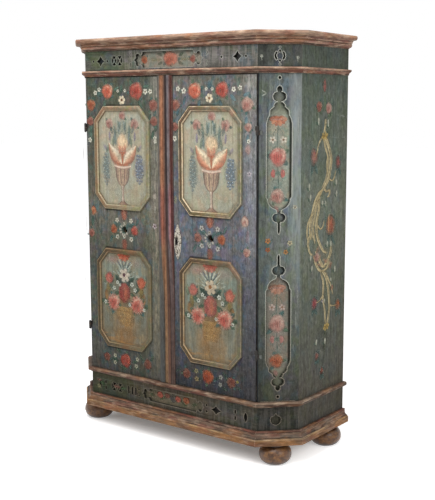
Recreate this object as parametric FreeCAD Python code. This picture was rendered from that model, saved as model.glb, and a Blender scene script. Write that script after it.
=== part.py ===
import FreeCAD, Part
import math
import os

# Painted two-door cupboard with canted front corners, bun feet and a moulded cornice.
# Millimetres. +Z is up, the doors face -Y, +X is the right-hand side seen from the front.
# The origin is on the floor, below the middle of the whole cupboard's box.

V = FreeCAD.Vector
UP = V(0, 0, 1)

# ---- driving dimensions -------------------------------------------------------------
# plan of the body
body_width = 1222.0
body_depth = 492.0
cant_across = 129.0
cant_back = 125.0

# heights, from the floor up
foot_height = 90.0
plinth_height = 162.5
waist_height = 23.0
door_zone_height = 1359.5
frieze_height = 112.0
cornice_height = 53.0

# how far each moulding stands out of the body
base_reach = 31.0
waist_reach = 20.0
upper_reach = 17.0
cornice_reach = 43.0

# heights of the two planted mouldings
base_moulding_height = 60.0
upper_moulding_height = 24.0

# boards
side_thickness = 22.0
ground_thickness = 14.0
fret_thickness = 14.0
back_thickness = 16.0
plank_count = 5
rear_rail_thickness = 20.0
base_frame_thickness = 25.0
base_frame_width = 163.0
base_rail_width = 60.0
floor_thickness = 20.0
shelf_thickness = 20.0
top_thickness = 18.0
waist_inner_reach = 45.0
cornice_seat = 12.0
rail_thickness = 20.0
rail_drop = 30.0
rail_height = 75.0

# feet
foot_radius = 70.0
foot_sole_radius = 40.0
foot_neck_radius = 44.0
foot_neck_height = 10.0
foot_belly_height = 38.0
foot_front_side_inset = 88.0
foot_front_inset = 81.0
foot_rear_side_inset = 36.0
foot_rear_inset = 86.0
spigot_radius = 16.0
spigot_length = 21.0

# doors
door_thickness = 25.0
meeting_x = -17.5
field_half_width = 168.0
field_half_height = 233.0
field_cut_across = 60.0
field_cut_up = 66.0
field_border = 24.0
field_rise = 9.0
left_field_shift = -13.25
right_field_shift = 7.75
upper_field_drop = 361.0
lower_field_rise = 348.5
vent_radius = 17.0
vent_drop = 7.75
left_vent_shift = -7.25
right_vent_shift = 7.75
ledge_width = 70.0
ledge_thickness = 20.0
ledge_taper = 6.0
ledge_bevel = 7.0
low_ledge_rise = 112.5
middle_ledge_rise = 94.75
high_ledge_drop = 98.0
ledge_hinge_inset = 52.0
ledge_meeting_inset = 46.0
bead_width = 27.0
bead_rise = 11.0
cover_left_flat = 13.0
cover_crown = 36.0
cover_right_flat = 5.0
cover_flat_rise = 5.0
cover_rise = 14.0

# shelves
low_shelf_rise = 344.5
high_shelf_drop = 305.0
shelf_count = 3
shelf_front_inset = 60.0
cleat_width = 20.0
cleat_height = 30.0

# hinges
low_hinge_rise = 202.5
high_hinge_drop = 227.0
hinge_height = 42.0
knuckle_radius = 5.5
knuckle_tip = 4.0
knuckle_tip_radius = 2.5
pin_radius = 2.5
hinge_standoff = 7.0
cant_leaf_width = 20.0
door_leaf_width = 13.0
leaf_thickness = 2.0

# lock, keeper, escutcheon and the left door's own bolt
lock_inset = 4.0
lock_width = 100.0
lock_height = 110.0
lock_depth = 22.0
lock_wall = 2.5
lock_drop = 35.25
lock_bolt_rise = 30.0
bolt_height = 22.0
bolt_depth = 8.0
bolt_length = 70.0
bolt_throw = 20.0
bolt_tip_inset = 1.0
bolt_notch = 7.0
guide_width = 6.0
keeper_width = 26.0
keeper_wall = 3.0
keeper_inset = 2.0
keeper_foot = 11.0
escutcheon_width = 40.0
escutcheon_height = 158.0
escutcheon_thickness = 2.0
escutcheon_gap = 1.0
keyhole_offset = -7.0
keyhole_rise = 4.0
keyhole_radius = 5.0
keyhole_slot_width = 6.0
keyhole_slot = 16.0
slide_bolt_width = 14.0
slide_bolt_depth = 6.0
slide_bolt_length = 160.0
slide_bolt_throw = 18.0
slide_bolt_knob_radius = 7.0
slide_bolt_knob_length = 16.0
slide_bolt_knob_rise = 22.0
slide_bolt_inset = 22.0
staple_height = 12.0
staple_wall = 3.0
staple_inset = 6.0
bolt_plate_width = 34.0

# clearances
door_gap = 2.0
hinge_edge_gap = 2.5
meeting_gap = 3.0
board_gap = 0.5
spigot_gap = 0.3
pin_gap = 0.05
slide_gap = 0.3
knuckle_gap = 0.3
bolt_rest_gap = 5.0
plank_gap = 1.0

# openings of the canted fretwork
window_drop = 12.0
window_half_width = 52.0
window_inner_end = 193.0
window_shoulder_margin = 188.75
trefoil_height = 150.0
window_low_squeeze = 0.86
window_dot_radius = 6.0
window_dot_gap_up = 32.0
window_dot_gap_down = 27.0
cant_rose_inner = 14.5
cant_rose_outer = 22.0
cant_rose_half_angle = 50.0
cant_rose_eye_rise = 19.0
cant_rose_eye_radius = 4.5
cant_rose_dot_rise = 33.0
cant_rose_dot_radius = 3.0
pear_shift = 8.0
pear_half_wide = 22.0
pear_half_tall = 25.0

# openings of the front fretwork, counted from the cartouche's ends and from the arrises
frieze_art_rise = 67.0
frieze_cartouche_x = 10.0
frieze_cartouche_margin = 286.0
frieze_cartouche_rise = 34.0
plinth_art_rise = 109.0
plinth_cartouche_x = 18.0
plinth_cartouche_margin = 300.0
plinth_cartouche_rise = 29.0
cartouche_leaf_gap = 14.0
cartouche_leaf_rise = 21.0
cartouche_leaf_bulge = 8.0
cartouche_leaf_half_tall = 12.0
cell_bar = 3.0
frieze_cell_gap = 82.0
frieze_cell_half_wide = 14.5
frieze_cell_half_tall = 20.0
frieze_lozenge_half_wide = 27.0
frieze_small_lozenge_half_wide = 24.0
frieze_lozenge_half_tall = 24.0
frieze_dot_radius = 5.0
frieze_dot_gap = 94.0
frieze_left_margin = 52.0
frieze_right_margin = 58.0
plinth_dot_radius_left = 4.5
plinth_dot_radius_right = 5.0
plinth_dot_gap_left = 20.0
plinth_dot_gap_right = 14.0
plinth_pair_rise = 14.0
plinth_slot_half_wide = 4.5
plinth_slot_half_tall = 19.0
plinth_short_slot_half_tall = 9.0
plinth_cell_half_wide = 15.0
plinth_cell_half_tall = 19.0
plinth_lozenge_half_wide = 32.0
plinth_lozenge_half_tall = 20.0
plinth_lens_half_wide = 9.0
plinth_lens_half_tall = 21.0
plinth_left_margin = 52.0
plinth_right_margin = 57.0
overshoot = 2.0

# ---- levels and planes that follow from the dimensions --------------------------------
z_plinth_low = foot_height + base_frame_thickness
z_plinth_top = foot_height + plinth_height
z_door_zone = z_plinth_top + waist_height
z_frieze = z_door_zone + door_zone_height
z_cornice = z_frieze + frieze_height
z_top = z_cornice + cornice_height

half_width = body_width / 2
arris_x = half_width - cant_across
foot_front_x = half_width - foot_front_side_inset
foot_rear_x = half_width - foot_rear_side_inset
frieze_cartouche_half = arris_x - frieze_cartouche_margin
plinth_cartouche_half = arris_x - plinth_cartouche_margin
y_back = (body_depth + cornice_reach) / 2
y_front = y_back - body_depth
cant_length = math.hypot(cant_across, cant_back)
cant_dir = V(cant_across / cant_length, cant_back / cant_length, 0)
cant_normal = V(cant_dir.y, -cant_dir.x, 0)
ground_reach = -(fret_thickness + ground_thickness)
rail_front_y = y_front - ground_reach
rail_back_y = rail_front_y + rail_thickness
door_back_y = y_front + door_thickness
z_door_low = z_door_zone + door_gap
z_door_high = z_frieze - door_gap
z_door_middle = (z_door_low + z_door_high) / 2
z_floor_top = z_door_zone + floor_thickness
z_window_middle = (z_door_zone + z_frieze) / 2 - window_drop
z_frieze_art = z_frieze + frieze_art_rise
z_plinth_art = foot_height + plinth_art_rise

# what is planted on the doors keeps its distance from their ends or from their middles
right_edge_x = meeting_x + meeting_gap / 2
left_edge_x = meeting_x - meeting_gap / 2
left_leaf_middle = (left_edge_x - arris_x + hinge_edge_gap) / 2
right_leaf_middle = (right_edge_x + arris_x - hinge_edge_gap) / 2
left_field_x = left_leaf_middle + left_field_shift
right_field_x = right_leaf_middle + right_field_shift
left_vent_x = left_leaf_middle + left_vent_shift
right_vent_x = right_leaf_middle + right_vent_shift
upper_field_z = z_door_high - upper_field_drop
lower_field_z = z_door_low + lower_field_rise
vent_z = z_door_middle - vent_drop
lock_z = z_door_middle - lock_drop
hinge_heights = (z_door_low + low_hinge_rise, z_door_high - high_hinge_drop)
ledge_heights = (z_door_low + low_ledge_rise, z_door_middle + middle_ledge_rise, z_door_high - high_ledge_drop)
low_shelf = z_floor_top + low_shelf_rise
shelf_spacing = (z_frieze - high_shelf_drop - low_shelf) / (shelf_count - 1)
shelf_heights = tuple(low_shelf + step * shelf_spacing for step in range(shelf_count))
window_outer_end = door_zone_height / 2 - window_shoulder_margin
window_dot_up = window_outer_end + trefoil_height + window_dot_gap_up
window_dot_down = window_outer_end + trefoil_height * window_low_squeeze + window_dot_gap_down

mitre_dir = (cant_normal + V(0, -1, 0)).normalize()
hinge_x = arris_x + mitre_dir.x * hinge_standoff
hinge_y = y_front + mitre_dir.y * hinge_standoff

cover_width = cover_left_flat + cover_crown + cover_right_flat
escutcheon_x = right_edge_x + cover_width + escutcheon_gap + escutcheon_width / 2
keyhole_x = escutcheon_x + keyhole_offset
keyhole_z = lock_z + keyhole_rise
lock_x = right_edge_x + lock_inset
bolt_z = lock_z + lock_bolt_rise
bolt_y = door_back_y + (lock_depth - bolt_depth) / 2

FACES = {
    "front": (V(-arris_x, y_front, 0), V(1, 0, 0), V(0, -1, 0), 2 * arris_x),
    "cant": (V(arris_x, y_front, 0), cant_dir, cant_normal, cant_length),
    "side": (V(half_width, y_front + cant_back, 0), V(0, 1, 0), V(1, 0, 0), body_depth - cant_back),
}
RUNS = {
    "cant": ("arris", "cheek"),
    "side": ("cheek", "rear"),
}


# ---- plan helpers -----------------------------------------------------------------------
def cant_x(y, reach):
    """x where the canted face, moved outwards by reach, meets the depth y."""
    return arris_x + (reach - cant_normal.y * (y - y_front)) / cant_normal.x


def cant_y(x, reach):
    """y where the canted face, moved outwards by reach, meets the width x."""
    return y_front + (reach - cant_normal.x * (x - arris_x)) / cant_normal.y


def plan_corner(corner, reach):
    """Right-hand corner of the body's plan, moved outwards by reach on every face."""
    if corner == "arris":
        return (cant_x(y_front - reach, reach), y_front - reach)
    if corner == "cheek":
        return (half_width + reach, cant_y(half_width + reach, reach))
    return (half_width + reach, y_back)


def prism(points, low, high):
    """Upright solid over a list of (x, y) points."""
    loop = [V(x, y, low) for x, y in points]
    loop.append(loop[0])
    return Part.Face(Part.makePolygon(loop)).extrude(UP * (high - low))


def symmetric(points):
    """Right-hand (x, y) points and their mirror images, as one outline."""
    return points + [(-x, y) for x, y in reversed(points)]


def run_outline(run, inner, outer):
    """Plan of one mitred length between two reaches."""
    if run == "front":
        return symmetric([plan_corner("arris", outer), plan_corner("arris", inner)])
    first, last = RUNS[run]
    return [
        plan_corner(first, inner),
        plan_corner(first, outer),
        plan_corner(last, outer),
        plan_corner(last, inner),
    ]


def mitred_board(run, inner, outer, low, high):
    return prism(run_outline(run, inner, outer), low, high)


def inner_outline(front_y, gap):
    """Plan between the inner faces of the boards, from front_y back to the planks."""
    reach = ground_reach - gap
    x_side = half_width - side_thickness - gap
    return symmetric([
        (cant_x(front_y, reach), front_y),
        (x_side, cant_y(x_side, reach)),
        (x_side, y_back - back_thickness - gap),
    ])


def face_point(run, along, reach, z):
    """A point of a body face: along it, out of it by reach, at the height z."""
    start, direction, normal, _ = FACES[run]
    return start + direction * along + normal * reach + UP * z


def box(x0, x1, y0, y1, z0, z1):
    return Part.makeBox(x1 - x0, y1 - y0, z1 - z0, V(x0, y0, z0))


def mirrored(shape):
    return shape.mirror(V(0, 0, 0), V(1, 0, 0))


def rod(radius, start, end):
    axis = end - start
    return Part.makeCylinder(radius, axis.Length, start, axis)


# ---- outlines -----------------------------------------------------------------------------
def curve_wire(place, start, steps):
    """Closed wire of (u, v) steps: one point is a straight line, two are an arc and its end."""
    edges = []
    here = start
    for step in steps:
        if len(step) == 1:
            edge = Part.LineSegment(place(*here), place(*step[0]))
        else:
            edge = Part.Arc(place(*here), place(*step[0]), place(*step[1]))
        edges.append(edge.toShape())
        here = step[-1]
    return Part.Wire(edges)


def scaled(steps, u_scale, v_scale, v_shift):
    return [[(u_scale * u, v_shift + v_scale * v) for u, v in step] for step in steps]


def with_reflection(start, steps, u_sign, v_sign):
    """Part of an outline that ends on a line of symmetry, then its reflection walked back."""
    ends = [start] + [step[-1] for step in steps]
    back = []
    for index in reversed(range(len(steps))):
        back.append(steps[index][:-1] + [ends[index]])
    return steps + scaled(back, u_sign, v_sign, 0)


def cut_through(run, along, z, start, steps):
    """Solid that cuts an outline through the thin board planted on a body face."""
    def place(u, v):
        return face_point(run, along + u, overshoot, z + v)

    depth = fret_thickness + 2 * overshoot
    return Part.Face(curve_wire(place, start, steps)).extrude(FACES[run][2] * -depth)


def dot(run, along, z, radius):
    steps = [[(0, radius), (-radius, 0)], [(0, -radius), (radius, 0)]]
    return cut_through(run, along, z, (radius, 0), steps)


def lens(run, along, z, half_wide, half_tall):
    steps = [[(half_wide, 0), (0, -half_tall)], [(-half_wide, 0), (0, half_tall)]]
    return cut_through(run, along, z, (0, half_tall), steps)


def crescent(run, along, z, bulge, half_tall):
    steps = [[(bulge, 0), (0, -half_tall)], [(bulge * 0.45, 0), (0, half_tall)]]
    return cut_through(run, along, z, (0, half_tall), steps)


def slot(run, along, z, half_wide, half_tall):
    """Upright slot with rounded ends."""
    straight = half_tall - half_wide
    return cut_through(run, along, z, (half_wide, -straight), [
        [(half_wide, straight)],
        [(0, half_tall), (-half_wide, straight)],
        [(-half_wide, -straight)],
        [(0, -half_tall), (half_wide, -straight)],
    ])


def ring_slot(run, along, z, inner, outer, half_angle, side):
    """Part of a ring, on one side of its middle."""
    across, up = side * math.cos(math.radians(half_angle)), math.sin(math.radians(half_angle))
    start = (outer * across, -outer * up)
    return cut_through(run, along, z, start, [
        [(side * outer, 0), (outer * across, outer * up)],
        [(inner * across, inner * up)],
        [(side * inner, 0), (inner * across, -inner * up)],
        [start],
    ])


def lozenge(run, along, z, half_wide, half_tall):
    """Four-pointed opening with hollow sides."""
    start = (half_wide, 0)
    bend_u = half_wide * 0.38
    bend_v = half_tall * 0.38
    return cut_through(run, along, z, start, [
        [(bend_u, bend_v), (0, half_tall)],
        [(-bend_u, bend_v), (-half_wide, 0)],
        [(-bend_u, -bend_v), (0, -half_tall)],
        [(bend_u, -bend_v), start],
    ])


def crossed_cell(run, along, z, half_wide, half_tall, bar):
    """Four small triangles that leave a diagonal cross standing between them."""
    cuts = []
    for u_sign, v_sign in ((1, 0), (0, 1), (-1, 0), (0, -1)):
        if v_sign == 0:
            tip = (u_sign * bar, 0)
            rim_a = (u_sign * half_wide, half_tall - bar * half_tall / half_wide)
            rim_b = (u_sign * half_wide, -rim_a[1])
        else:
            tip = (0, v_sign * bar * half_tall / half_wide)
            rim_a = (half_wide - bar, v_sign * half_tall)
            rim_b = (-rim_a[0], v_sign * half_tall)
        cuts.append(cut_through(run, along, z, tip, [[rim_a], [rim_b], [tip]]))
    return cuts


def cartouche(run, along, z, half_long, half_tall):
    """Long field whose ends step in, swell and come to a point."""
    quarter = [
        [(half_long - 1.55 * half_tall, half_tall)],
        [(half_long - 1.45 * half_tall, half_tall * 0.66), (half_long - 1.1 * half_tall, half_tall * 0.56)],
        [(half_long - 0.52 * half_tall, half_tall * 0.72), (half_long - 0.42 * half_tall, half_tall * 0.28)],
        [(half_long - 0.26 * half_tall, half_tall * 0.10), (half_long, 0)],
    ]
    start = (0, half_tall)
    right = with_reflection(start, quarter, 1, -1)
    return cut_through(run, along, z, start, with_reflection(start, right, -1, 1))


def pear(run, along, z, half_wide, half_tall):
    """Round-bottomed opening drawn up to an ogee tip."""
    start = (0, -half_tall)
    half = [
        [(half_wide * 0.887, half_wide * 0.538 - half_tall), (half_wide * 0.82, half_wide * 1.57 - half_tall)],
        [(half_wide * 0.25, half_tall * 0.62), (0, half_tall)],
    ]
    return cut_through(run, along, z, start, with_reflection(start, half, -1, 1))


# ---- the tall windows of the canted boards ----------------------------------------------
def trefoil_end():
    """Half outline from the window's shoulder outwards to its trefoil finial."""
    half = window_half_width
    return [
        [(half - 2, 7)],
        [(half - 6, 21), (half - 13, 33)],
        [(half - 14, 52)],
        [(half - 20, 58), (22, 66)],
        [(20, 77), (8, 85)],
        [(8, 89)],
        [(27, 107), (7, 125)],
        [(11, 136), (0, trefoil_height)],
    ]


def slit_end():
    """Half outline from the window's shoulder to its lobes and the thin slit beyond."""
    half = window_half_width
    return [
        [(half - 6, 7)],
        [(half - 14, 32), (15, 47)],
        [(8, 54)],
        [(7, 66)],
        [(27, 84), (8, 101)],
        [(4.5, 108)],
        [(4.5, 142)],
        [(0, 152)],
    ]


def window(v_sign, squeeze):
    """One tall window; v_sign turns it to the upper or the lower half of the board."""
    half = window_half_width
    right = (half, window_inner_end)
    left = (-half, window_inner_end)
    outer = [[(half, window_outer_end)]] + scaled(trefoil_end(), 1, squeeze, window_outer_end)
    inner = scaled(slit_end(), -1, -1, window_inner_end)
    steps = with_reflection(right, outer, -1, 1) + with_reflection(left, inner, -1, 1)
    start = (half, v_sign * window_inner_end)
    return cut_through("cant", cant_length / 2, z_window_middle, start, scaled(steps, 1, v_sign, 0))


def cant_fretwork():
    """Thin pierced board over the canted face, from the waist to the cornice."""
    board = mitred_board("cant", -fret_thickness, 0, z_door_zone, z_cornice)
    middle = cant_length / 2
    cuts = [window(1, 1.0), window(-1, window_low_squeeze)]
    for rise in (window_dot_up, -window_dot_down):
        cuts.append(dot("cant", middle, z_window_middle + rise, window_dot_radius))
    for sign in (-1, 1):
        cuts.append(ring_slot("cant", middle, z_frieze_art, cant_rose_inner, cant_rose_outer,
                              cant_rose_half_angle, sign))
        cuts.append(dot("cant", middle, z_frieze_art + sign * cant_rose_eye_rise, cant_rose_eye_radius))
        cuts.append(dot("cant", middle, z_frieze_art + sign * cant_rose_dot_rise, cant_rose_dot_radius))
    return board.cut(cuts)


def plinth_cant_fretwork():
    board = mitred_board("cant", -fret_thickness, 0, z_plinth_low, z_plinth_top)
    middle = cant_length / 2 - pear_shift
    return board.cut(pear("cant", middle, z_plinth_art, pear_half_wide, pear_half_tall))


def front_along(x):
    return x + arris_x


def spread(first, last, steps):
    """Places from first to last, whose distances are to each other as the steps are."""
    places = [first]
    walked = 0.0
    for step in steps:
        walked += step
        places.append(first + (last - first) * walked / sum(steps))
    return places


def frieze_fretwork():
    """Thin pierced board over the front of the frieze."""
    board = mitred_board("front", -fret_thickness, 0, z_frieze, z_cornice)
    z = z_frieze_art
    cuts = [cartouche("front", front_along(frieze_cartouche_x), z,
                      frieze_cartouche_half, frieze_cartouche_rise)]
    for side in (-1, 1):
        x = frieze_cartouche_x + side * (frieze_cartouche_half + cartouche_leaf_gap)
        for rise in (-cartouche_leaf_rise, cartouche_leaf_rise):
            cuts.append(crescent("front", front_along(x), z + rise, side * cartouche_leaf_bulge,
                                 cartouche_leaf_half_tall))
    left_end = frieze_cartouche_x - frieze_cartouche_half
    right_end = frieze_cartouche_x + frieze_cartouche_half
    inner_cell, outer_cell, left_dot, left_lozenge, left_last = spread(
        left_end - frieze_cell_gap, frieze_left_margin - arris_x, (17, 21, 21, 22))
    right_dot, right_lozenge, right_last = spread(
        right_end + frieze_dot_gap, arris_x - frieze_right_margin, (81, 43))
    for x in (outer_cell, inner_cell):
        cuts += crossed_cell("front", front_along(x), z, frieze_cell_half_wide, frieze_cell_half_tall, cell_bar)
    cuts.append(lozenge("front", front_along(left_lozenge), z, frieze_lozenge_half_wide, frieze_lozenge_half_tall))
    for x in (left_last, left_dot, right_dot, right_last):
        cuts.append(dot("front", front_along(x), z, frieze_dot_radius))
    cuts.append(lozenge("front", front_along(right_lozenge), z, frieze_small_lozenge_half_wide,
                        frieze_lozenge_half_tall))
    return board.cut(cuts)


def plinth_fretwork():
    """Thin pierced board over the front of the plinth."""
    board = mitred_board("front", -fret_thickness, 0, z_plinth_low, z_plinth_top)
    z = z_plinth_art
    cuts = [cartouche("front", front_along(plinth_cartouche_x), z,
                      plinth_cartouche_half, plinth_cartouche_rise)]
    left_dots, slot_a, slot_b, slot_c, left_cell_a, left_cell_b, left_pair, left_lens = spread(
        plinth_cartouche_x - plinth_cartouche_half - plinth_dot_gap_left,
        plinth_left_margin - arris_x, (20, 22, 22, 54, 38, 55, 35))
    right_dots, right_lozenge, right_pair, right_lens = spread(
        plinth_cartouche_x + plinth_cartouche_half + plinth_dot_gap_right,
        arris_x - plinth_right_margin, (52, 104, 55))
    for x in (slot_c, slot_b, slot_a):
        cuts.append(slot("front", front_along(x), z, plinth_slot_half_wide, plinth_slot_half_tall))
    for rise in (-plinth_pair_rise, plinth_pair_rise):
        cuts.append(dot("front", front_along(left_dots), z + rise, plinth_dot_radius_left))
        cuts.append(dot("front", front_along(right_dots), z + rise, plinth_dot_radius_right))
        for x in (right_pair, left_pair):
            cuts.append(slot("front", front_along(x), z + rise, plinth_slot_half_wide,
                             plinth_short_slot_half_tall))
    for x in (left_cell_b, left_cell_a):
        cuts += crossed_cell("front", front_along(x), z, plinth_cell_half_wide, plinth_cell_half_tall, cell_bar)
    cuts.append(lozenge("front", front_along(right_lozenge), z, plinth_lozenge_half_wide, plinth_lozenge_half_tall))
    for x in (left_lens, right_lens):
        cuts.append(lens("front", front_along(x), z, plinth_lens_half_wide, plinth_lens_half_tall))
    return board.cut(cuts)


# ---- mouldings: reach outwards and height above the moulding's foot ------------------------
def base_profile(place):
    height = base_moulding_height
    reach = base_reach
    return curve_wire(place, (0, 0), [
        [(reach * 0.95, 0)],
        [(reach, height * 0.05)],
        [(reach, height * 0.40)],
        [(reach * 0.96, height * 0.45), (reach * 0.86, height * 0.47)],
        [(reach * 0.81, height * 0.53)],
        [(reach * 0.53, height * 0.62), (reach * 0.42, height * 0.83)],
        [(reach * 0.36, height * 0.86)],
        [(reach * 0.44, height * 0.94), (reach * 0.28, height)],
        [(0, height)],
        [(0, 0)],
    ])


def waist_profile(place):
    height = waist_height
    reach = waist_reach
    return curve_wire(place, (-waist_inner_reach, 0), [
        [(reach * 0.35, 0)],
        [(reach * 0.42, height * 0.2), (reach * 0.75, height * 0.28)],
        [(reach * 0.88, height * 0.3)],
        [(reach, height * 0.62), (reach * 0.86, height * 0.94)],
        [(reach * 0.7, height)],
        [(-waist_inner_reach, height)],
        [(-waist_inner_reach, 0)],
    ])


def upper_profile(place):
    height = upper_moulding_height
    reach = upper_reach
    return curve_wire(place, (0, 0), [
        [(reach * 0.25, 0)],
        [(reach * 0.36, height * 0.34), (reach * 0.74, height * 0.52)],
        [(reach * 0.76, height * 0.62)],
        [(reach * 0.94, height * 0.66)],
        [(reach, height * 0.8), (reach * 0.94, height * 0.96)],
        [(reach * 0.8, height)],
        [(0, height)],
        [(0, 0)],
    ])


def cornice_profile(place):
    height = cornice_height
    reach = cornice_reach
    return curve_wire(place, (-cornice_seat, 0), [
        [(reach * 0.09, 0)],
        [(reach * 0.09, height * 0.06)],
        [(reach * 0.30, height * 0.12), (reach * 0.36, height * 0.40)],
        [(reach * 0.46, height * 0.42)],
        [(reach * 0.52, height * 0.58), (reach * 0.72, height * 0.63)],
        [(reach * 0.86, height * 0.65)],
        [(reach, height * 0.80), (reach * 0.95, height * 0.96)],
        [(reach * 0.9, height)],
        [(-cornice_seat, height)],
        [(-cornice_seat, 0)],
    ])


def mitred_moulding(run, profile, inner, outer, foot_z, height):
    """A profile carried along one face and cut on the mitre planes of both its ends."""
    start, direction, normal, length = FACES[run]
    spare = 2 * (outer - inner)

    def place(reach, rise):
        return start - direction * spare + normal * reach + UP * (foot_z + rise)

    bar = Part.Face(profile(place)).extrude(direction * (length + 2 * spare))
    ends = mitred_board(run, inner, outer, foot_z - overshoot, foot_z + height + overshoot)
    return bar.common(ends)


def add_moulding(nodes, name, profile, inner, outer, foot_z, height):
    """Front length, and left and right returns of one canted and one side length."""
    returns = []
    for run in ("cant", "side"):
        returns.append(mitred_moulding(run, profile, inner, outer, foot_z, height))
    nodes[name + "_front"] = [mitred_moulding("front", profile, inner, outer, foot_z, height)]
    nodes[name + "_right"] = returns
    nodes[name + "_left"] = [mirrored(piece) for piece in returns]


# ---- feet and base ---------------------------------------------------------------------------
def bun_foot(x, y):
    """Turned foot: flat sole, full belly, short neck and the spigot that enters the base."""
    neck_z = foot_height - foot_neck_height
    tip_z = foot_height + spigot_length
    belly = Part.Arc(
        V(foot_sole_radius, 0, 0),
        V(foot_radius, 0, foot_belly_height),
        V(foot_neck_radius, 0, neck_z),
    )
    corners = [
        V(foot_neck_radius, 0, neck_z),
        V(foot_neck_radius, 0, foot_height),
        V(spigot_radius, 0, foot_height),
        V(spigot_radius, 0, tip_z),
        V(0, 0, tip_z),
        V(0, 0, 0),
        V(foot_sole_radius, 0, 0),
    ]
    outline = Part.Wire([belly.toShape()] + Part.makePolygon(corners).Edges)
    foot = Part.Face(outline).revolve(V(0, 0, 0), UP, 360)
    foot.translate(V(x, y, 0))
    return foot


def foot_places():
    front_y = y_front + foot_front_inset
    rear_y = y_back - foot_rear_inset
    return {
        "foot_front_left": (-foot_front_x, front_y),
        "foot_front_right": (foot_front_x, front_y),
        "foot_rear_left": (-foot_rear_x, rear_y),
        "foot_rear_right": (foot_rear_x, rear_y),
    }


def base_frame():
    """Wide boards that carry the feet, joined by a rail at the front and at the back."""
    inner_x = half_width - base_frame_width
    plan = [
        (inner_x, y_front),
        plan_corner("arris", 0),
        plan_corner("cheek", 0),
        plan_corner("rear", 0),
        (inner_x, y_back),
    ]
    low = foot_height
    high = z_plinth_low
    right = prism(plan, low, high)
    front = box(-inner_x, inner_x, y_front, y_front + base_rail_width, low, high)
    rear = box(-inner_x, inner_x, y_back - base_rail_width, y_back, low, high)
    bores = []
    for x, y in foot_places().values():
        bores.append(rod(spigot_radius + spigot_gap, V(x, y, low - overshoot), V(x, y, high + overshoot)))
    return [mirrored(right).cut(bores), right.cut(bores), front, rear]


# ---- boards ------------------------------------------------------------------------------------
def back_planks():
    reach = half_width - side_thickness
    pitch = (2 * reach + plank_gap) / plank_count
    planks = []
    for index in range(plank_count):
        x = -reach + index * pitch
        width = pitch - plank_gap
        planks.append(box(x, x + width, y_back - back_thickness, y_back, z_door_zone, z_cornice))
    return planks


def shelf(top):
    plan = inner_outline(y_front + shelf_front_inset, board_gap)
    return prism(plan, top - shelf_thickness, top)


def shelf_cleats():
    """Strips on the side boards, one under each end of each shelf."""
    x_out = half_width - side_thickness
    y_from = cant_y(x_out, ground_reach)
    cleats = []
    for top in shelf_heights:
        high = top - shelf_thickness
        strip = box(x_out - cleat_width, x_out, y_from, y_back - back_thickness, high - cleat_height, high)
        cleats += [mirrored(strip), strip]
    return cleats


def top_rail():
    """Rail behind the frieze that the closed doors meet at the top."""
    low = z_frieze - rail_drop
    plan = symmetric([
        (cant_x(rail_front_y, ground_reach), rail_front_y),
        (cant_x(rail_back_y, ground_reach), rail_back_y),
    ])
    return prism(plan, low, low + rail_height)


def top_board():
    reach = -cornice_seat
    plan = symmetric([
        plan_corner("arris", reach),
        plan_corner("cheek", reach),
        plan_corner("rear", reach),
    ])
    return prism(plan, z_cornice, z_cornice + top_thickness)


# ---- doors -----------------------------------------------------------------------------------
def keyhole(start_y, end_y):
    """Round hole with a slot below it."""
    hole = rod(keyhole_radius, V(keyhole_x, start_y, keyhole_z), V(keyhole_x, end_y, keyhole_z))
    half = keyhole_slot_width / 2
    tail = box(keyhole_x - half, keyhole_x + half, start_y, end_y, keyhole_z - keyhole_slot, keyhole_z)
    return hole.fuse(tail)


def door_leaf(side, meeting, vent_x):
    """Leaf whose hinge edge is bevelled to the line of the canted corner."""
    front_x = arris_x - hinge_edge_gap
    rear_x = plan_corner("arris", -door_thickness)[0] - hinge_edge_gap
    plan = [
        (meeting, y_front),
        (side * front_x, y_front),
        (side * rear_x, door_back_y),
        (meeting, door_back_y),
    ]
    leaf = prism(plan, z_door_low, z_door_high)
    near = y_front - overshoot
    far = door_back_y + overshoot
    cuts = [rod(vent_radius, V(vent_x, near, vent_z), V(vent_x, far, vent_z))]
    if side > 0:
        cuts.append(keyhole(near, far))
    return leaf.cut(cuts)


def octagon(centre_x, centre_z, inset):
    """Corners of a field with cut corners, moved inwards by inset, in order around it."""
    a = field_half_width
    b = field_half_height
    hyp = math.hypot(field_cut_across, field_cut_up)
    nx = field_cut_up / hyp
    nz = field_cut_across / hyp
    level = nx * a + nz * (b - field_cut_up) - inset
    z_side = (level - nx * (a - inset)) / nz
    x_end = (level - nz * (b - inset)) / nx
    quarter = [(a - inset, z_side), (x_end, b - inset)]
    upper = quarter + [(-x, z) for x, z in reversed(quarter)]
    ring = upper + [(x, -z) for x, z in reversed(upper)]
    return [(centre_x + x, centre_z + z) for x, z in ring]


def border_profile(place):
    """Section of a field's border: a rounded outer edge, a flat and a hollow."""
    wide = field_border
    rise = field_rise
    return curve_wire(place, (0, 0), [
        [(0, rise * 0.45)],
        [(wide * 0.06, rise * 0.85), (wide * 0.2, rise)],
        [(wide * 0.5, rise)],
        [(wide * 0.56, rise * 0.86)],
        [(wide * 0.76, rise * 0.70), (wide * 0.88, rise * 0.36)],
        [(wide, rise * 0.3)],
        [(wide, 0)],
        [(0, 0)],
    ])


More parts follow.
